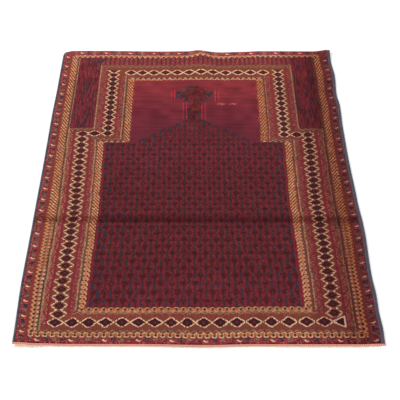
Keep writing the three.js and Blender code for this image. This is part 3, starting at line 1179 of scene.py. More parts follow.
        # blocks that climb with the gable's two slopes: first and last column
        start, end = self.gable_rows
        foot, wide = self.gable_left
        left_slope = start + (self.column - foot) / wide * (end - start)
        foot, wide = self.gable_right
        right_slope = start + (foot - self.column) / wide * (end - start)
        left_blocks = ((122, 131), (139, 146), (150, 156), (162, 167), (172, 177), (182, 188))
        right_blocks = ((264, 273), (250, 256), (239, 245), (228, 232), (218, 222), (208, 214))
        for slope, blocks in ((left_slope, left_blocks), (right_slope, right_blocks)):
            for first, last in blocks:
                beside = np.abs(self.row - slope) < 3.6
                self.flecked(self.inside(first, last, 380, 442) & beside, slate)
        for left, right, near, far in (
            (189, 192, 443, 463), (189.6, 191.6, 470, 482), (204, 207, 443, 463),
            (183, 185, 505, 516), (193, 194, 487, 500), (204, 205, 494, 506),
        ):
            self.flecked(self.inside(left, right, near, far), slate)
        # a broken slate ring just inside the head's outline
        rim = np.minimum(self.column - read_table(HEAD_OUTLINE, 1, self.row),
                         read_table(HEAD_OUTLINE, 2, self.row) - self.column)
        broken = soft_noise(self.column / 7, self.row / 6, self.seed + 21)
        ring = inside_head & ((rim < 7.4) | (self.row > 525.5)) & (broken > -0.2)
        self.flecked(ring, ((Dye.NAVY, 0.8), (Dye.PLUM, 0.1), (Dye.DARK_OLIVE, 0.1)))
        for c in (81, 95, 109, 286, 303, 316):
            peak = self.inside(c - 6, c + 6, 374, 385)
            blue = peak & (np.abs(self.column - c - 0.5) < (self.row - 373) * 0.26)
            self.flecked(blue, ((Dye.NAVY, 0.55), (Dye.PLUM, 0.45)))
        for left, right, near, far, bright in (
            (182, 183, 442, 485, 0.7), (186.4, 188, 442, 485, 0.3), (208.4, 210, 442, 485, 0.3),
            (213, 214, 442, 485, 0.7), (165, 166, 494, 518, 0.8), (168.6, 169.6, 494, 522, 0.9),
            (228, 229, 490, 522, 0.7), (232, 233, 494, 516, 0.8),
        ):
            reds = ((Dye.CRIMSON, bright), (Dye.DARK_CRIMSON, 1 - bright))
            self.flecked(self.inside(left, right, near, far), reds)
        for left, right, near, far in (
            (184, 186, 442, 485), (210.4, 212.4, 442, 485),
            (166.6, 168, 487, 527), (230, 231.4, 487, 527),
        ):
            self.fill(left, right, near, far, Dye.PLUM)
        dark = ((Dye.BLACK_BROWN, 0.75), (Dye.DARK_OLIVE, 0.1), (Dye.NAVY, 0.15))
        for left, right, near, far in (
            (211, 216, 509, 519), (216.6, 219, 503, 511), (221, 225, 511, 517), (172, 178, 509, 516),
        ):
            self.flecked(self.inside(left, right, near, far), dark)
        for c, r, reach in ((237, 482.5, 6.0), (253, 482.5, 7.0)):
            off = np.hypot((self.column - c) / reach, (self.row - r) / 2.4)
            worn = off < self.draw.uniform(0.5, 1.3, off.shape)
            self.flecked(worn, ((Dye.RED_WINE, 0.6), (Dye.ROSE, 0.4)))
        self.fill(241, 247, 508, 511, Dye.DARK_CRIMSON)

    def borders(self) -> None:
        """Ties all the border bands, from the guards inward."""
        # lattice ground and the bands beside it: first and last column, first and last row
        self.flecked(self.inside(12, 390, 14, 622), ((Dye.RED_WINE, 0.8), (Dye.RUST, 0.2)))
        for left, right, near, far in (
            (33, 55, 24, 414), (345, 367, 24, 414), (70, 88, 400, 583), (313, 334, 400, 583),
            (33, 367, 24, 41), (33, 88, 400, 415), (313, 367, 398, 412), (70, 334, 562, 582),
        ):
            self.fill(left, right, near, far, Dye.RUST)
        self.leafy_side(26, 33, 20, 418, False, Dye.OLIVE)
        self.leafy_side(367, 376, 20, 415, True, Dye.OLIVE)
        self.leafy_side(55, 63, 40, 398, True)
        self.leafy_side(336, 345, 40, 396, False)
        self.leafy_side(61, 70, 414, 584, False)
        self.leafy_side(88, 97, 396, 560, True)
        self.leafy_side(304, 312, 394, 560, False)
        self.leafy_side(334, 342, 412, 584, True)
        reds = ((Dye.RED_WINE, 0.5), (Dye.DARK_CRIMSON, 0.5))
        for left, right, near, far in (
            (54, 57, 42, 398), (342.6, 345, 42, 396), (31, 34, 24, 414), (366, 368.4, 24, 414),
        ):
            self.flecked(self.inside(left, right, near, far), reds)
        self.leafy_row(14, 20, 22, 382)
        brown_red = ((Dye.RUST, 0.45), (Dye.RED_WINE, 0.4), (Dye.DARK_OLIVE, 0.15))
        self.flecked(self.inside(26, 376, 20, 24), brown_red)
        self.leafy_row(43, 48, 60, 337)
        wine_red = ((Dye.RUST, 0.36), (Dye.RED_WINE, 0.56), (Dye.ROSE, 0.08))
        self.flecked(self.inside(54, 346, 39, 43.6), wine_red)
        self.leafy_row(390, 397, 60, 97)
        self.leafy_row(388, 394, 305, 342)
        self.leafy_row(416, 422, 24, 60)
        self.leafy_row(413, 419, 343, 379)
        self.leafy_row(583, 592, 60, 344)
        self.leafy_row(555, 562, 97, 305, Dye.RED_WINE)
        dark = ((Dye.DARK_OLIVE, 0.5), (Dye.BLACK_BROWN, 0.2), (Dye.NAVY, 0.15), (Dye.RUST, 0.15))
        olive = ((Dye.OLIVE, 0.5), (Dye.DARK_OLIVE, 0.2), (Dye.PEACH, 0.22), (Dye.ROSE, 0.08))
        for left, right, near, far, mix in (
            (22, 24, 18, 614, dark), (24, 25.6, 18, 614, olive),
            (375.6, 377, 18, 614, olive), (377, 379, 18, 614, dark),
            (62.4, 64, 50, 392, olive), (64, 65.4, 50, 392, dark),
            (333, 334.4, 50, 390, dark), (334.4, 336, 50, 390, olive),
            (58.4, 60, 420, 592, olive), (342.4, 344, 418, 592, olive),
            (96.4, 98, 394, 562, olive), (98.4, 100, 394, 562, dark),
            (300, 301.4, 390, 562, dark), (302, 303.4, 390, 562, olive),
        ):
            self.flecked(self.inside(left, right, near, far), mix)
        # corner panels and the strip that joins them
        self.streaked(self.inside(25, 58, 422, 614), Dye.MAROON, 0.0)
        self.streaked(self.inside(344, 377, 419, 614), Dye.MAROON, 0.15)
        strip = self.inside(58, 344, 592, 614)
        reds = ((Dye.RED_WINE, 0.72), (Dye.RUST, 0.1), (Dye.ROSE, 0.1), (Dye.DARK_CRIMSON, 0.08))
        self.flecked(strip, reds)
        waver = soft_noise(self.column / 9, self.row / 7, self.seed + 4)
        upright = (self.column - 75.1 + 0.5 * waver) % 7.0
        dark = ((Dye.MAROON, 0.5), (Dye.PLUM, 0.3), (Dye.RUST, 0.2))
        self.flecked(strip & (upright > 2) & (upright < 5), dark)
        self.paint(strip & (upright > 3) & (upright < 4) & (self.row > 604), Dye.NAVY)
        mark = self.inside(54, 68, 596, 612)
        self.paint(mark & (np.abs(self.column - 57 - (self.row - 600) * 0.7) < 2.2), Dye.NAVY)

    def lattices(self) -> None:
        """Ties the lozenges of the lattice bands."""
        self.lozenge_column(self.lattice_left, 9.6, self.left_lozenges.places(), 38.4, 413.6)
        self.lozenge_column(self.lattice_right, 9.6, self.right_lozenges.places(), 37.6, 409.6)
        self.lozenge_column(self.upper_left, 8.6, self.upper_left_lozenges.places(), 401.4, 569.4)
        self.lozenge_column(self.upper_right, 8.6, self.upper_right_lozenges.places(), 397.8, 570.6)
        for c in self.near_lozenges.places():
            self.lozenge(c, 31.0, 7.1, 9.3, 0.0, False)
        for c in self.far_lozenges.places():
            self.lozenge(c, 569.8, 6.9, 8.9, 0.0, False)
        for c, r in ((60.5, 407.5), (340.5, 404.0)):
            self.lozenge(c, r, 6.5, 9.2, 0.6, False)
        # a half lozenge closes the near row at the right, and open arms end the upper columns
        half = self.inside(353, 366, 22, 40)
        reach = (self.column - 352.5) * 0.62
        across = np.abs(self.row - 31.0)
        self.paint(half & (across < reach), Dye.BLACK_BROWN)
        self.paint(half & (np.abs(across - reach) < 1.0), Dye.CREAM)
        self.fill(365, 367, 23, 40, Dye.CREAM)
        for c, r in ((self.upper_left, 569.4), (self.upper_right, 570.6)):
            arms = self.inside(c - 12, c + 12, r - 1, r + 6.6)
            reach = 2.2 + (self.row - r) * 0.95
            self.paint(arms & (np.abs(self.column - c) < reach), Dye.PLUM)
            self.paint(arms & (np.abs(np.abs(self.column - c) - reach) < 1.1), Dye.CREAM)

    def scrolls(self) -> None:
        """Ties the orange scroll bands."""
        # row, and how many rows one scroll or stroke takes there
        outer: Table = (
            (0, 7.15), (116, 7.15), (130, 6.05), (320, 6.3), (380, 7.4), (520, 8.6), (636, 8.8),
        )
        outer_right: Table = (
            (0, 6.7), (130, 6.7), (146, 5.6), (250, 6.0), (330, 7.0), (450, 8.4), (636, 8.8),
        )
        inner: Table = ((0, 7.95), (126, 7.95), (146, 6.3), (320, 6.5), (400, 8.0), (636, 8.4))
        inner_right: Table = ((0, 7.6), (136, 7.6), (156, 6.3), (300, 6.5), (390, 8.0), (636, 8.4))
        self.scroll_side(12, 12, 618, False, 215, 12.6, outer, DOTTED, 0.1)
        self.scroll_side(380, 10, 618, True, 215, 9.5, outer_right, DOTTED, 0.14)
        self.scroll_side(65, 48, 388, False, 190, 52.1, inner, RINGED, 0.16)
        self.scroll_side(322, 52, 388, True, 200, 48.0, inner_right, RINGED, 0.1)
        self.scroll_side(100, 386, 556, False, 386, 390, inner, RINGED, 0.08)
        self.scroll_side(290, 384, 556, True, 384, 390, inner_right, RINGED, -0.16)
        self.scroll_row(7.4, 16.4, 13, 389, 36.4, 8.12, OUTER_WAVE, 0.34)
        self.scroll_row(47.4, 56.4, 69, 331, 81.3, 8.2, INNER_WAVE, 0.42)
        self.toothed_row(613.4, 621, 16, 388, 43.8, 7.98, False)
        self.toothed_row(547, 555, 101, 299, 115.0, 7.8, True)
        self.toothed_row(383, 389.5, 66, 108, 70, 7.8, True)
        self.toothed_row(382, 388, 291, 331, 295, 7.8, True)

    def weave(self) -> None:
        """Ties the whole chart, then leans its rows as the loom did."""
        self.borders()
        self.scrolls()
        self.lattices()
        self.niche()
        self.small_motifs()
        self.niche_details()
        self.guard_row(0, 8, 12, 390, 20.4)
        self.guard_row(622, 636, 12, 390, 22.6)
        self.guard_side(0, 16.0, True)
        self.guard_side(390, 4.0, False)
        at_ends = ease(self.row / 50) * ease((KNOTS_LONG - self.row) / 20)
        up = self.slant * self.column / KNOTS_WIDE * at_ends
        most, at, reach = self.left_drift
        left = most * np.exp(-(((self.row - at) / reach) ** 2)) * ease((self.column - 4) / 20)
        most, at, reach = self.right_drift
        right = most * np.exp(-(((self.row - at) / reach) ** 2)) * ease((398 - self.column) / 34)
        first, last = self.drift_sides
        over = left + (right - left) * np.clip((self.column - first) / (last - first), 0, 1)
        source_row = np.clip(np.floor(self.row - up), 0, KNOTS_LONG - 1).astype(int)
        source_column = np.clip(np.floor(self.column - over), 0, KNOTS_WIDE - 1).astype(int)
        self.dyes = self.dyes[source_row, source_column]

    def packed(self) -> np.ndarray:
        """Packs each block of three columns by two rows of knots into one number.

        Returns:
            The numbers, a row for each two rows of knots.
        """
        numbers = np.zeros((KNOTS_LONG // BLOCK_LONG, KNOTS_WIDE // BLOCK_WIDE), np.int64)
        for up in range(BLOCK_LONG):
            for over in range(BLOCK_WIDE):
                place = DYE_COUNT ** (BLOCK_WIDE * up + over)
                numbers += self.dyes[up::BLOCK_LONG, over::BLOCK_WIDE].astype(np.int64) * place
        return numbers


@dataclass(frozen=True)
class YarnLotsAndPaintedShade:
    """Slow changes of tone over the rug: other lots of yarn, and painted shade and light from the crease
    and the leaning pile.
    """

    # column, then the factors for red, green and blue: painted shade, darker and redder on the right
    # border where the pile leans
    across: Table = (
        (0, 1, 1, 1), (322, 1, 1, 1), (344, 0.80, 0.72, 0.76), (364, 0.73, 0.64, 0.68),
        (371, 0.54, 0.44, 0.48), (380, 0.59, 0.46, 0.45), (389, 0.59, 0.46, 0.45),
        (393, 0.55, 0.46, 0.52), (402, 0.54, 0.45, 0.54),
    )
    # row, then the factors: painted light, lighter at the far end where the pile leans to the viewer
    along: Table = (
        (0, 1, 1, 1), (540, 1, 1, 1), (566, 1.18, 1.14, 1.10), (614, 1.15, 1.15, 1.15),
        (628, 1.45, 1.4, 1.4), (636, 1.45, 1.4, 1.4),
    )
    # row, then the factors inside the niche: the plain wine grows redder up to its top
    niche: Table = (
        (386, 1, 1, 1), (430, 1, 1, 1), (465, 1.18, 1.06, 1.05), (500, 1.35, 1.2, 1.08),
        (530, 1.62, 1.4, 1.14), (548, 1.76, 1.5, 1.16),
    )
    niche_streak: float = 0.3
    field_middle: tuple[float, float, float] = (0.11, 0.11, 0.15)
    # the crease band: painted shade, darker by these shares of red, green and blue
    crease_row: float = 217.0
    crease_half: float = 7.0
    crease_painted_shade: tuple[float, float, float] = (0.36, 0.48, 0.46)

    def tones(self, places: np.ndarray) -> np.ndarray:
        """Finds the factors for red, green and blue.

        Args:
            places: Columns and rows in knots.

        Returns:
            Three factors and a one for each place.
        """
        c, r = places[:, 0], places[:, 1]
        # where the painted shade of the crease falls
        crease_shade_mask = 1 - ease((np.abs(r - self.crease_row) - 3) / self.crease_half)
        in_niche = ease((c - 107) / 3) * ease((292 - c) / 3) * ease((r - 400) / 30) * ease((550 - r) / 3)
        off = np.abs(c - 198)
        over_head = ease((30 - off) / 5) * np.where(r > 486, 1.0, ease((15 - off) / 5))
        over_head *= ease((535 - r) / 4)
        in_niche = in_niche * (1 - 0.36 * over_head)
        uneven = 0.6 * soft_noise(c / 24, r / 4, 17) + 0.8 * soft_noise(c / 13, r / 15, 18)
        streak = 1 + self.niche_streak * uneven
        in_field = ease((c - 74) / 6) * ease((322 - c) / 6) * ease((r - 84) / 40) * ease((350 - r) / 50)
        found = np.ones((len(places), 4))
        for i in (1, 2, 3):
            inside = 1 + in_niche * (read_table(self.niche, i, r) * streak - 1)
            # painted shade in the crease band, and a darker field middle
            crease = (1 - self.crease_painted_shade[i - 1] * crease_shade_mask) * (1 - self.field_middle[i - 1] * in_field)
            # painted shade on the right border, painted light at the far end
            lean = read_table(self.across, i, c) * read_table(self.along, i, r)
            found[:, i - 1] = lean * crease * inside
        return found


# Finishes


@dataclass(frozen=True)
class KnottedWoolPile:
    """Hand-knotted cut wool pile: matt, slightly furry, each knot a small tuft of its own shade."""

    roughness: float = 0.92
    specular: float = 0.05  # wool fibres scatter, so little mirrors off the pile
    sheen: float = 0.04
    sheen_roughness: float = 0.55
    sheen_tint: str = "#d9a9a0"
    knot_change: float = 0.16  # how much one knot's shade differs from the next
    streak_change: float = 0.14  # bands of rows tied from another lot of yarn
    patch_change: float = 0.10  # places where the pile leans another way
    tuft_height: float = 0.45 * MM
    depth: float = 0.86  # share of the light that comes back from between the tufts

    def make(self) -> bpy.types.Material:
        """Makes the material.

        Returns:
            The material.
        """
        material, tree, shader = new_material("knotted_wool_pile")
        knots = add_node(tree, "ShaderNodeUVMap", {"uv_map": "knots"}).outputs[0]
        block = add_node(tree, "ShaderNodeUVMap", {"uv_map": "block"}).outputs[0]
        dye = self.dye_of_knot(tree, knots, block)
        shade = self.shade_of_knot(tree, knots)
        # tone factors of the yarn lots, with the painted shade and light of the crease, the right border
        # and the far end
        lots = add_node(tree, "ShaderNodeAttribute", {"attribute_name": "yarn_lot_and_painted_shade"}).outputs["Color"]
        set_inputs(tree, shader, {
            "Base Color": scaled(tree, vector_sum(tree, "MULTIPLY", dye, lots), shade),
            "Normal": bump_of(tree, 0.7, self.tuft_height, self.tufts(tree, knots)),
            "Roughness": self.roughness,
            "Specular IOR Level": self.specular,
            "Sheen Weight": self.sheen,
            "Sheen Roughness": self.sheen_roughness,
            "Sheen Tint": linear(self.sheen_tint),
        })
        return material

    def dye_of_knot(
        self, tree: bpy.types.NodeTree, knots: bpy.types.NodeSocket, block: bpy.types.NodeSocket
    ) -> bpy.types.NodeSocket:
        """Unpacks the dye of each knot from the number of its block.

        Args:
            tree: The material's nodes.
            knots: Place in knots over the whole rug.
            block: Place in knots inside the block.

        Returns:
            The colour's socket.
        """
        # tufts spread a little over their neighbours, so the knots' borders are ragged
        ragged = noise(tree, "2D", knots, 1.3, 1.0).outputs["Color"]
        apart = vector_sum(tree, "SUBTRACT", ragged, (0.5, 0.5, 0.5))
        moved = vector_sum(tree, "MULTIPLY_ADD", apart, (0.9, 0.9, 0.0), block)
        parts = add_node(tree, "ShaderNodeSeparateXYZ", None, {0: moved}).outputs
        over, up = (
            sum_of(tree, "FLOOR", sum_of(tree, "MINIMUM", sum_of(tree, "MAXIMUM", part, SLIVER), most))
            for part, most in zip(parts, (BLOCK_WIDE - SLIVER, BLOCK_LONG - SLIVER))
        )
        # 1, 16 or 256 for the column inside the block, and 4096 times that for its second row
        curve = sum_of(tree, "MULTIPLY_ADD", over, 112.5, -97.5)
        column_place = sum_of(tree, "MULTIPLY_ADD", over, curve, 1.0)
        row_place = sum_of(tree, "MULTIPLY_ADD", up, float(DYE_COUNT**BLOCK_WIDE - 1), 1.0)
        number = add_node(tree, "ShaderNodeAttribute", {"attribute_name": "knot_block"}).outputs["Fac"]
        shifted = sum_of(tree, "DIVIDE", number, sum_of(tree, "MULTIPLY", column_place, row_place))
        index = sum_of(tree, "MODULO", sum_of(tree, "FLOOR", shifted), float(DYE_COUNT))
        middle = sum_of(tree, "MULTIPLY_ADD", index, 1 / DYE_COUNT, 0.5 / DYE_COUNT)
        ramp = add_node(tree, "ShaderNodeValToRGB", None, {0: middle})
        stops = ramp.color_ramp
        stops.interpolation = "CONSTANT"
        while len(stops.elements) < DYE_COUNT:
            stops.elements.new(len(stops.elements) / DYE_COUNT)
        for stop, dye in zip(stops.elements, Dye):
            stop.position = dye / DYE_COUNT
            stop.color = linear(DYE_COLOURS[dye])
        return ramp.outputs["Color"]

    def shade_of_knot(
        self, tree: bpy.types.NodeTree, knots: bpy.types.NodeSocket
    ) -> bpy.types.NodeSocket:
        """Varies the shade from knot to knot, from row to row and where the pile leans.

        Args:
            tree: The material's nodes.
            knots: Place in knots over the whole rug.

        Returns:
            A factor's socket.
        """
        whole = vector_sum(tree, "FLOOR", knots)
        settings = {"noise_dimensions": "2D"}
        one = add_node(tree, "ShaderNodeTexWhiteNoise", settings, {"Vector": whole}).outputs[0]
        single = sum_of(tree, "MULTIPLY_ADD", one, self.knot_change, 1 - self.knot_change / 2)
        long_rows = vector_sum(tree, "MULTIPLY", knots, (0.006, 0.16, 0.0))
        lot = noise(tree, "2D", long_rows, 1.0, 3.0).outputs[0]
        streak = sum_of(tree, "MULTIPLY_ADD", lot, 2 * self.streak_change, 1 - self.streak_change)
        lean = noise(tree, "2D", knots, 0.035, 2.0).outputs[0]
        patch = sum_of(tree, "MULTIPLY_ADD", lean, 2 * self.patch_change, 1 - self.patch_change)
        varied = sum_of(tree, "MULTIPLY", sum_of(tree, "MULTIPLY", single, streak), patch)
        return sum_of(tree, "MULTIPLY", varied, self.depth)

    def tufts(self, tree: bpy.types.NodeTree, knots: bpy.types.NodeSocket) -> bpy.types.NodeSocket:
        """Draws the top of each tuft as a low dome.

        Args:
            tree: The material's nodes.
            knots: Place in knots over the whole rug.

        Returns:
            The height's socket.
        """
        off = vector_sum(tree, "SUBTRACT", vector_sum(tree, "FRACTION", knots), (0.5, 0.5, 0.0))
        far = add_node(tree, "ShaderNodeVectorMath", {"operation": "LENGTH"}, {0: off}).outputs["Value"]
        dome = sum_of(tree, "SUBTRACT", 1.0, sum_of(tree, "MULTIPLY", far, far))
        fibres = noise(tree, "2D", knots, 2.2, 2.0).outputs[0]
        return sum_of(tree, "MULTIPLY_ADD", fibres, 0.8, dome)


@dataclass(frozen=True)
class OvercastGoatHair:
    """Goat hair wound tightly round the edge warps: wiry, with a dull gloss on each turn and painted
    shade between turns.
    """

    name: str
    main: str
    other: str
    turn: float = 2.6  # millimetres from one turn to the next
    hair_height: float = 0.3 * MM
    roughness: float = 0.72
    specular: float = 0.25
    sheen: float = 0.1

    def make(self) -> bpy.types.Material:
        """Makes the material.

        Returns:
            The material.
        """
        material, tree, shader = new_material(self.name)
        wound = add_node(tree, "ShaderNodeUVMap", {"uv_map": "wound"}).outputs[0]
        along = add_node(tree, "ShaderNodeSeparateXYZ", None, {0: wound}).outputs[0]
        # the yarn changes colour every few centimetres, as the hair comes from the spindle
        lots = noise(tree, "1D", sum_of(tree, "MULTIPLY", along, 0.03), 1.0, 3.0).outputs[0]
        hair = noise(tree, "2D", wound, 1.4, 3.0).outputs[0]
        mixed = sum_of(tree, "MULTIPLY_ADD", hair, 0.5, sum_of(tree, "MULTIPLY", lots, 0.75))
        colour = ramp_of(tree, mixed, (0.45, self.main), (0.8, self.other))
        # painted shade: the colour dips once per turn of the hair, in the groove between turns
        turns = sum_of(tree, "SINE", sum_of(tree, "MULTIPLY", along, 2 * math.pi / self.turn))
        set_inputs(tree, shader, {
            "Base Color": scaled(tree, colour, sum_of(tree, "MULTIPLY_ADD", turns, 0.14, 0.86)),
            "Normal": bump_of(tree, 0.6, self.hair_height, hair),
            "Roughness": self.roughness,
            "Specular IOR Level": self.specular,
            "Sheen Weight": self.sheen,
        })
        return material


@dataclass(frozen=True)
class WhippedWool:
    """Plied wool whipped over the ends: round slanting stitches, matt, with painted shade in the grooves.
    """

    name: str = "whipped_wool_end"
    main: str = "#f8b8a0"
    shadow: str = "#b4464a"
    strand_height: float = 0.3 * MM
    roughness: float = 0.9
    specular: float = 0.15
    sheen: float = 0.15

    def make(self, stitch: float) -> bpy.types.Material:
        """Makes the material.

        Args:
            stitch: Millimetres from one stitch to the next.

        Returns:
            The material.
        """
        material, tree, shader = new_material(self.name)
        wound = add_node(tree, "ShaderNodeUVMap", {"uv_map": "wound"}).outputs[0]
        along, across, _ = add_node(tree, "ShaderNodeSeparateXYZ", None, {0: wound}).outputs
        slanted = sum_of(tree, "MULTIPLY_ADD", across, 0.3, along)
        # painted shade: each stitch runs from its light crown to the darker groove
        turn = sum_of(tree, "SINE", sum_of(tree, "MULTIPLY", slanted, 2 * math.pi / stitch))
        strands = noise(tree, "2D", wound, 1.1, 3.0).outputs[0]
        mixed = sum_of(tree, "MULTIPLY_ADD", turn, 0.38, strands)
        set_inputs(tree, shader, {
            "Base Color": ramp_of(tree, mixed, (0.16, self.shadow), (0.66, self.main)),
            "Normal": bump_of(tree, 0.6, self.strand_height, strands),
            "Roughness": self.roughness,
            "Specular IOR Level": self.specular,
            "Sheen Weight": self.sheen,
        })
        return material


@dataclass(frozen=True)
class UndyedWarp:
    """Undyed hand-spun wool of the warps: ivory with grey-brown hairs, matt."""

    pale: str = "#fbd8b8"
    dark: str = "#cfa388"
    hairs_per_metre: float = 620.0
    roughness: float = 0.92
    specular: float = 0.15

    def make(self) -> bpy.types.Material:
        """Makes the material.

        Returns:
            The material.
        """
        material, tree, shader = new_material("undyed_wool_warp")
        place = add_node(tree, "ShaderNodeTexCoord").outputs["Object"]
        hair = noise(tree, "3D", place, self.hairs_per_metre, 2.0).outputs[0]
        set_inputs(tree, shader, {
            "Base Color": ramp_of(tree, hair, (0.35, self.dark), (0.55, self.pale)),
            "Roughness": self.roughness,
            "Specular IOR Level": self.specular,
        })
        return material


@dataclass(frozen=True)
class WhiteSweep:
    """A matt white studio sweep."""

    colour: str = "#fbfbfb"
    roughness: float = 0.9

    def make(self) -> bpy.types.Material:
        """Makes the material.

        Returns:
            The material.
        """
        material, tree, shader = new_material("white_studio_sweep")
        set_inputs(tree, shader, {
            "Base Color": linear(self.colour),
            "Roughness": self.roughness,
            "Specular IOR Level": 0.0,
        })
        return material


# Sub-assemblies


@dataclass
class KnottedSheet:
    """The knotted sheet: a grid of pile above, the same grid of knot backs below, and its rim."""

    lie: RugLie
    chart: KnotChart
    finish: KnottedWoolPile
    lots: YarnLotsAndPaintedShade = YarnLotsAndPaintedShade()
    edge_stops: tuple[float, ...] = (0.5, 1.4)  # knots from the rim where the pile rounds over
    relief: float = 0.3  # millimetres that the pile's top wanders up and down

    def stations(self, knots: int, block: int) -> np.ndarray:
        """Lists the grid's stations in knots, closer together at both rims.

        Args:
            knots: How many knots there are that way.
            block: How many of them one face takes.

        Returns:
            The stations in order.
        """
        even = np.arange(0, knots + 1, block, dtype=float)
        ends = [*self.edge_stops, *(knots - stop for stop in self.edge_stops)]
        return np.unique(np.concatenate([even, ends]))

    def surface(self, across: np.ndarray, along: np.ndarray) -> tuple[np.ndarray, np.ndarray]:
        """Lays the top and the underside of the sheet down.

        Args:
            across: Stations across in knots.
            along: Stations along in knots.

        Returns:
            Top and bottom points in millimetres.
        """
        c, r = np.meshgrid(across, along)
        flat_x = c / KNOTS_WIDE * self.lie.width - self.lie.width / 2
        flat_y = r / KNOTS_LONG * self.lie.length - self.lie.length / 2
        x, y = self.lie.lay(flat_x, flat_y)
        bottom = self.lie.lift(flat_x, flat_y)
        to_rim = np.minimum(self.lie.width / 2 - np.abs(flat_x), self.lie.length / 2 - np.abs(flat_y))
        inside = np.clip(to_rim / (1.6 * self.lie.rim_width), 0, 1)
        round_over = 1 - np.sqrt(np.clip(1 - (1 - inside) ** 2, 0, 1))
        thick = self.lie.thickness - (self.lie.thickness - self.lie.rim_thickness) * round_over
        tufts = soft_noise(flat_x / 7.5, flat_y / 6.0, 21)
        waves = soft_noise(flat_x / 31, flat_y / 23, 22)
        top = bottom + thick + (tufts * 0.55 + waves * 0.45) * self.relief * inside
        return np.stack([x, y, top], 2), np.stack([x, y, bottom], 2)

    def make(self) -> bpy.types.Object:
        """Makes the sheet with its knots' dyes on its faces.

        Returns:
            The piece.
        """
        across = self.stations(KNOTS_WIDE, BLOCK_WIDE)
        along = self.stations(KNOTS_LONG, BLOCK_LONG)
        top, bottom = self.surface(across, along)
        tall, wide = len(along), len(across)
        middle = bottom * 0.45 + top * 0.55
        rim = self.rim_loop(tall, wide)
        points = np.concatenate([top.reshape(-1, 3), bottom.reshape(-1, 3), middle.reshape(-1, 3)[rim]])
        number = np.arange(tall * wide).reshape(tall, wide)
        a, b = number[:-1, :-1].ravel(), number[:-1, 1:].ravel()
        c, d = number[1:, 1:].ravel(), number[1:, :-1].ravel()
        low = tall * wide
        upper = np.stack([a, b, c, d], 1)
        under = np.stack([d, c, b, a], 1) + low
        ring = 2 * low + np.arange(len(rim))
        following = np.roll(np.arange(len(rim)), -1)
        walls = [
            np.stack([ring, ring[following], rim[following], rim], 1),
            np.stack([rim + low, rim[following] + low, ring[following], ring], 1),
        ]
        faces = np.concatenate([upper, under, *walls])
        piece = make_object("rug_pile", points * MM + self.lie.shift(), faces)
        places = np.stack(np.meshgrid(across, along), 2).reshape(-1, 2)
        self.mark_knots(piece, np.concatenate([places, places, places[rim]]))
        shade_smooth(piece)
        piece.data.materials.append(self.finish.make())
        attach(piece, "root")
        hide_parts("rug_body")
        return piece

    def rim_loop(self, tall: int, wide: int) -> np.ndarray:
        """Lists the top's outer points.

        Args:
            tall: How many points there are along the rug.
            wide: How many there are across it.

        Returns:
            Their numbers in order, anticlockwise seen from above.
        """
        number = np.arange(tall * wide).reshape(tall, wide)
        sides = [number[0, :-1], number[:-1, -1], number[-1, :0:-1], number[:0:-1, 0]]
        return np.concatenate(sides)

    def mark_knots(self, piece: bpy.types.Object, places: np.ndarray) -> None:
        """Writes each face's packed dyes and each corner's place in knots.

        Args:
            piece: The sheet.
            places: Every point's place in knots.

        Returns:
            Nothing.
        """
        mesh = piece.data
        corners = places[corner_points(mesh)]
        face_of_corner = np.repeat(np.arange(len(mesh.polygons)), 4)
        middles = corners.reshape(-1, 4, 2).mean(1)
        held = np.clip(middles, SLIVER, (KNOTS_WIDE - SLIVER, KNOTS_LONG - SLIVER))
        block = np.floor(held / (BLOCK_WIDE, BLOCK_LONG)).astype(int)
        numbers = self.chart.packed()[block[:, 1], block[:, 0]].astype(np.float32)
        mesh.attributes.new("knot_block", "FLOAT", "FACE").data.foreach_set("value", numbers)
        inside = corners - block[face_of_corner] * (BLOCK_WIDE, BLOCK_LONG)
        # tone factors of each corner, painted shade and light among them
        tones = self.lots.tones(corners).astype(np.float32)
        mesh.attributes.new("yarn_lot_and_painted_shade", "FLOAT_COLOR", "CORNER").data.foreach_set("color", tones.ravel())
        write_places(mesh, "knots", corners)
        write_places(mesh, "block", inside)


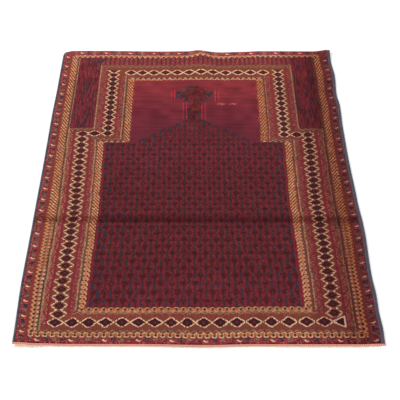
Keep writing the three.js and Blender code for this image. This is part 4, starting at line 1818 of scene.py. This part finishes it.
@dataclass
class SideCords:
    """The cords along one side: edge warps overcast with goat hair in a close spiral."""

    lie: RugLie
    name: str
    node: str
    finish: OvercastGoatHair
    slot: Finish
    on_right: bool
    cords: int
    size: float
    gap: float = 0.3
    flat: float = 0.4
    overlap: float = 0.4
    around: int = 12
    steps_per_turn: int = 4
    groove: float = 0.1  # depth of the grooves between turns, as a share of the radius
    hair_offset: float = 500.0  # millimetres of hair from one cord's start to the next one's

    def make(self) -> bpy.types.Object:
        """Makes the cords of this side as one piece.

        Returns:
            The piece.
        """
        count = int(self.lie.length / self.finish.turn * self.steps_per_turn)
        flat_y = np.linspace(-self.lie.length / 2, self.lie.length / 2, count + 1)
        flat_y = flat_y if self.on_right else flat_y[::-1]
        side = self.lie.width / 2 if self.on_right else -self.lie.width / 2
        edge = Edge(self.lie, np.full_like(flat_y, side), flat_y)
        points, faces, wound = [], [], []
        for cord in range(self.cords):
            ring = self.ring(edge, cord)
            corners, quads = sweep(ring)
            start = sum(len(p) for p in points)
            faces += [[i + start for i in face] for face in quads]
            points.append(corners)
            turn = np.arange(self.around) / self.around * math.pi * self.size
            travel = np.repeat(edge.travel[:, None], self.around, 1) + cord * self.hair_offset
            wound.append(np.stack([travel, np.broadcast_to(turn, travel.shape)], 2).reshape(-1, 2))
        piece = make_object(self.name, np.concatenate(points) * MM + self.lie.shift(), faces)
        write_wound(piece, np.concatenate(wound))
        shade_smooth(piece)
        piece.data.materials.append(self.finish.make())
        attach(piece, "root")
        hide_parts(self.node)
        return piece

    def ring(self, edge: Edge, cord: int) -> np.ndarray:
        """Makes the rings of one cord, swelling and sinking with each turn of the hair.

        Args:
            edge: The rim that the cord follows.
            cord: Which cord, from the rim outward.

        Returns:
            The rings' points in millimetres.
        """
        radius = self.size / 2
        angle = np.arange(self.around) / self.around * 2 * math.pi
        turn = edge.travel[:, None] / self.finish.turn * 2 * math.pi + angle[None, :]
        plump = soft_noise(edge.travel / 17, np.full_like(edge.travel, cord * 7.0), 31)[:, None]
        swell = 1 - self.groove * (0.5 - 0.5 * np.cos(turn)) - 0.03 * (1 - plump) / 2
        middle = self.gap + radius + cord * (self.size - self.overlap)
        out = middle + radius * swell * np.cos(angle)[None, :]
        up = np.maximum(0.0, radius - self.flat + radius * swell * np.sin(angle)[None, :])
        return edge.place(out, up)


def write_wound(piece: bpy.types.Object, places: np.ndarray) -> None:
    """Writes the place along and around a wound piece, in millimetres, to its corners.

    Args:
        piece: The piece.
        places: Every point's place.

    Returns:
        Nothing.
    """
    write_places(piece.data, "wound", places[corner_points(piece.data)])


@dataclass
class WhippedEnd:
    """One end of the rug: a band of whipped wool, and the trimmed warp ends beyond it."""

    lie: RugLie
    name: str
    node: str
    finish: WhippedWool
    warp: UndyedWarp
    far: bool
    locks: int
    # place across the rug, and how far the warp ends reach beyond the band there
    lock_length: Table
    stitch: float = 4.3
    gap: float = 0.3
    depth: float = 4.0
    height: float = 3.6
    left_cord: float = 6.0
    right_cords: float = 10.8
    steps_per_stitch: int = 5
    root: float = 2.2  # how far a lock of warp ends is buried in the band
    lock_stations: int = 5
    lock_corners: int = 5
    # the band's section, as shares of its depth and height
    section: Table = (
        (0.0, 0.0), (0.5, 0.0), (1.0, 0.0), (1.0, 0.25), (1.0, 0.5), (0.93, 0.72), (0.8, 0.88),
        (0.6, 0.98), (0.4, 1.0), (0.2, 0.93), (0.05, 0.8), (0.0, 0.4),
    )

    def edge(self) -> Edge:
        """Finds the stations of this end, from one side of the sheet to the other.

        Returns:
            The stations.
        """
        count = int(self.lie.width / self.stitch * self.steps_per_stitch)
        flat_x = np.linspace(-self.lie.width / 2, self.lie.width / 2, count + 1)
        flat_x = flat_x[::-1] if self.far else flat_x
        end = self.lie.length / 2 if self.far else -self.lie.length / 2
        return Edge(self.lie, flat_x, np.full_like(flat_x, end))

    def make(self) -> list[bpy.types.Object]:
        """Makes the band and its warp ends.

        Returns:
            The two pieces.
        """
        edge = self.edge()
        band_edge = self.band_edge()
        shares = np.array(self.section)
        slant = band_edge.travel[:, None] + 0.3 * self.depth * shares[None, :, 1]
        bulge = 0.5 + 0.5 * np.sin(slant / self.stitch * 2 * math.pi)
        swell = 0.86 + 0.14 * np.sqrt(bulge)
        out = self.gap + self.depth * shares[None, :, 0] * np.where(shares[None, :, 0] > 0.5, swell, 1.0)
        up = self.height * shares[None, :, 1] * swell
        corners, faces = sweep(band_edge.place(out, up))
        band = make_object(self.name, corners * MM + self.lie.shift(), faces)
        around = np.cumsum(np.hypot(*np.diff(shares, axis=0, prepend=shares[:1]).T)) * self.depth
        travel = np.repeat(band_edge.travel[:, None], len(around), 1)
        write_wound(band, np.stack([travel, np.broadcast_to(around, travel.shape)], 2).reshape(-1, 2))
        shade_smooth(band)
        band.data.materials.append(self.finish.make(self.stitch))
        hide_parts(self.node)
        ends = self.warp_ends(edge)
        for piece in (band, ends):
            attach(piece, "root")
        return [band, ends]

    def band_edge(self) -> Edge:
        """Finds the stations of the band itself, lengthened over the side cords' ends.

        Returns:
            The stations.
        """
        edge = self.edge()
        over_right = np.linspace(0, self.right_cords, 14)[1:]
        over_left = np.linspace(0, self.left_cord, 8)[1:]
        if self.far:
            self.extend(edge, over_right, None)
            edge.spots[-1] += (edge.spots[-2] - edge.spots[-1]) * 0.5
        else:
            self.extend(edge, over_left, over_right)
        return edge

    def extend(self, edge: Edge, at_start: np.ndarray, at_end: np.ndarray | None) -> None:
        """Adds straight stations beyond the ends of an edge.

        Args:
            edge: The edge to lengthen.
            at_start: Distances before its first station.
            at_end: Distances past its last station, if any.

        Returns:
            Nothing.
        """
        for distances, last, beside in ((at_start, 0, 1), (at_end, -1, -2)):
            if distances is None:
                continue
            way = edge.spots[last] - edge.spots[beside]
            way = way / np.linalg.norm(way)
            spots = edge.spots[last] + way[None, :] * distances[:, None]
            outward = np.repeat(edge.outward[last][None, :], len(distances), 0)
            lift = np.full(len(distances), edge.lift[last])
            travel = edge.travel[last] + (distances if last else -distances)
            for name, added in (
                ("spots", spots), ("outward", outward), ("lift", lift), ("travel", travel),
            ):
                old = getattr(edge, name)
                setattr(edge, name, np.concatenate([old, added] if last else [added[::-1], old]))

    def warp_ends(self, edge: Edge) -> bpy.types.Object:
        """Makes the trimmed warp ends: thin tapered locks that lie on the floor.

        Args:
            edge: The rim that they leave.

        Returns:
            The piece.
        """
        draw = np.random.default_rng(51 if self.far else 50)
        points, faces = [], []
        shares = np.linspace(0, 1, self.lock_stations)
        for i in range(self.locks):
            share = (i + 0.5 + 0.4 * draw.uniform(-1, 1)) / self.locks
            at = int(np.clip(share * (len(edge.travel) - 1), 0, len(edge.travel) - 1))
            spot, outward, lift = edge.spots[at], edge.outward[at], edge.lift[at]
            along = np.array([-outward[1], outward[0]])
            usual = float(read_table(self.lock_length, 1, edge.flat_x[at]))
            length = usual * (1 + 0.3 * draw.uniform(-1, 1))
            drift, bend = 1.5 * draw.uniform(-1, 1), 0.9 * draw.uniform(-1, 1)
            thick = draw.uniform(0.42, 0.7)
            reach = self.gap + self.depth - self.root + (self.root + length) * shares
            beside = drift * shares**1.5 + bend * shares * (1 - shares)
            height = np.maximum(lift * (1 - shares), 0) + 0.75 * (1 - shares) ** 2
            radius = thick * (1 - 0.55 * shares**2)
            ring = []
            for j in range(self.lock_stations):
                centre = spot + outward * reach[j] + along * beside[j]
                for corner in range(self.lock_corners):
                    angle = corner / self.lock_corners * 2 * math.pi
                    side = along * (radius[j] * math.cos(angle))
                    up = height[j] + radius[j] * (1 + math.sin(angle))
                    ring.append((centre[0] + side[0], centre[1] + side[1], up))
            sections = np.array(ring).reshape(self.lock_stations, self.lock_corners, 3)
            corners, quads = sweep(sections)
            faces += [[k + len(corners) * i for k in face[::-1]] for face in quads]
            points.append(corners)
        whole = np.concatenate(points) * MM + self.lie.shift()
        piece = make_object(self.name + "_warps", whole, faces)
        shade_smooth(piece)
        piece.data.materials.append(self.warp.make())
        return piece


@dataclass
class Studio:
    """A white floor, soft light from all sides and the camera of the photograph."""

    camera_place: tuple[float, float, float] = (-0.02266, -2.55459, 1.85394)
    turned: float = -0.677  # degrees to the right of straight ahead
    tipped: float = 37.266  # degrees below the horizon
    rolled: float = 0.558  # degrees
    lens: float = 102.6
    sky: float = 0.76
    floor_size: float = 40.0
    floor_height: float = -0.0002  # just under the rug, so that the two don't meet
    # name, place, size in metres, watts and the point it faces
    lamps: tuple[tuple, ...] = (
        ("softbox_left", (-2.2, 0.9, 2.6), 1.6, 40.0, (0.0, 0.0, 0.0)),
        ("softbox_above", (0.1, -0.6, 3.2), 2.2, 23.0, (0.0, 0.0, 0.0)),
    )

    def make(self) -> None:
        """Makes the floor, the lights and the camera."""
        self.make_floor()
        self.make_lights()
        self.make_camera()

    def make_floor(self) -> None:
        """Makes the floor, just under the rug."""
        half = self.floor_size / 2
        corners = [(-half, -half), (half, -half), (half, half), (-half, half)]
        points = np.array([(x, y, self.floor_height) for x, y in corners])
        floor = make_object("studio_floor", points, [[0, 1, 2, 3]])
        floor.data.materials.append(WhiteSweep().make())

    def make_lights(self) -> None:
        """Makes the even sky and the soft boxes."""
        scene = bpy.context.scene
        scene.view_settings.view_transform = "Standard"
        world = bpy.data.worlds.new("studio_sky")
        world.use_nodes = True
        background = world.node_tree.nodes["Background"]
        background.inputs["Color"].default_value = (1.0, 1.0, 1.0, 1.0)
        background.inputs["Strength"].default_value = self.sky
        scene.world = world
        for name, place, size, watts, target in self.lamps:
            lamp = bpy.data.lights.new(name, "AREA")
            lamp.shape = "DISK"
            lamp.size = size
            lamp.energy = watts
            made = bpy.data.objects.new(name, lamp)
            made.location = place
            made.rotation_mode = "QUATERNION"
            made.rotation_quaternion = (Vector(target) - Vector(place)).to_track_quat("-Z", "Y")
            scene.collection.objects.link(made)

    def make_camera(self) -> None:
        """Makes the camera, turned, tipped and rolled as the photograph's was."""
        yaw, tip, roll = (math.radians(a) for a in (self.turned, self.tipped, self.rolled))
        ahead = Vector((-math.sin(yaw) * math.cos(tip), math.cos(yaw) * math.cos(tip), -math.sin(tip)))
        right = Vector((math.cos(yaw), math.sin(yaw), 0.0))
        up = right.cross(ahead)
        level_right = math.cos(roll) * right + math.sin(roll) * up
        level_up = -math.sin(roll) * right + math.cos(roll) * up
        turn = Matrix((level_right, level_up, -ahead)).transposed().to_4x4()
        camera = bpy.data.cameras.new("camera")
        camera.sensor_width = 36.0
        camera.lens = self.lens
        camera.clip_end = 100.0
        made = bpy.data.objects.new("camera", camera)
        made.matrix_world = Matrix.Translation(self.camera_place) @ turn
        bpy.context.scene.collection.objects.link(made)
        bpy.context.scene.camera = made


def main() -> None:
    """Builds the rug's pieces in order and reports each one."""
    logging.basicConfig(level=logging.INFO, format="%(message)s")
    lie = RugLie()
    chart = KnotChart()
    chart.weave()
    pile = KnottedSheet(lie, chart, KnottedWoolPile()).make()
    left = SideCords(
        lie, "left_cord", "selvedge_left",
        OvercastGoatHair("goat_hair_overcast_dark", "#343c48", "#5c5a66"),
        Finish.LEFT_CORD, False, 1, 6.0,
    ).make()
    right = SideCords(
        lie, "right_cords", "selvedge_right",
        OvercastGoatHair("goat_hair_overcast", "#424b56", "#615060"),
        Finish.RIGHT_CORD, True, 2, 5.4,
    ).make()
    warp = UndyedWarp()
    near = WhippedEnd(
        lie, "near_band", "end_band_near", WhippedWool(), warp, False, 640,
        ((-422, 10.5), (-385, 9), (-340, 4.6), (-200, 4), (20, 4.4), (130, 3.4), (230, 4.8), (422, 4)),
    ).make()
    far = WhippedEnd(
        lie, "far_band", "end_band_far", WhippedWool("whipped_wool_far_end", "#cdab90", "#94755f"),
        warp, True, 300, ((-422, 3), (-120, 4), (140, 3), (422, 4.5)),
    ).make()
    for piece in (pile, left, right, *near, *far):
        log.info("%s: %d faces", piece.name, len(piece.data.polygons))
    Studio().make()
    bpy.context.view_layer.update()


if __name__ == "__main__":
    main()
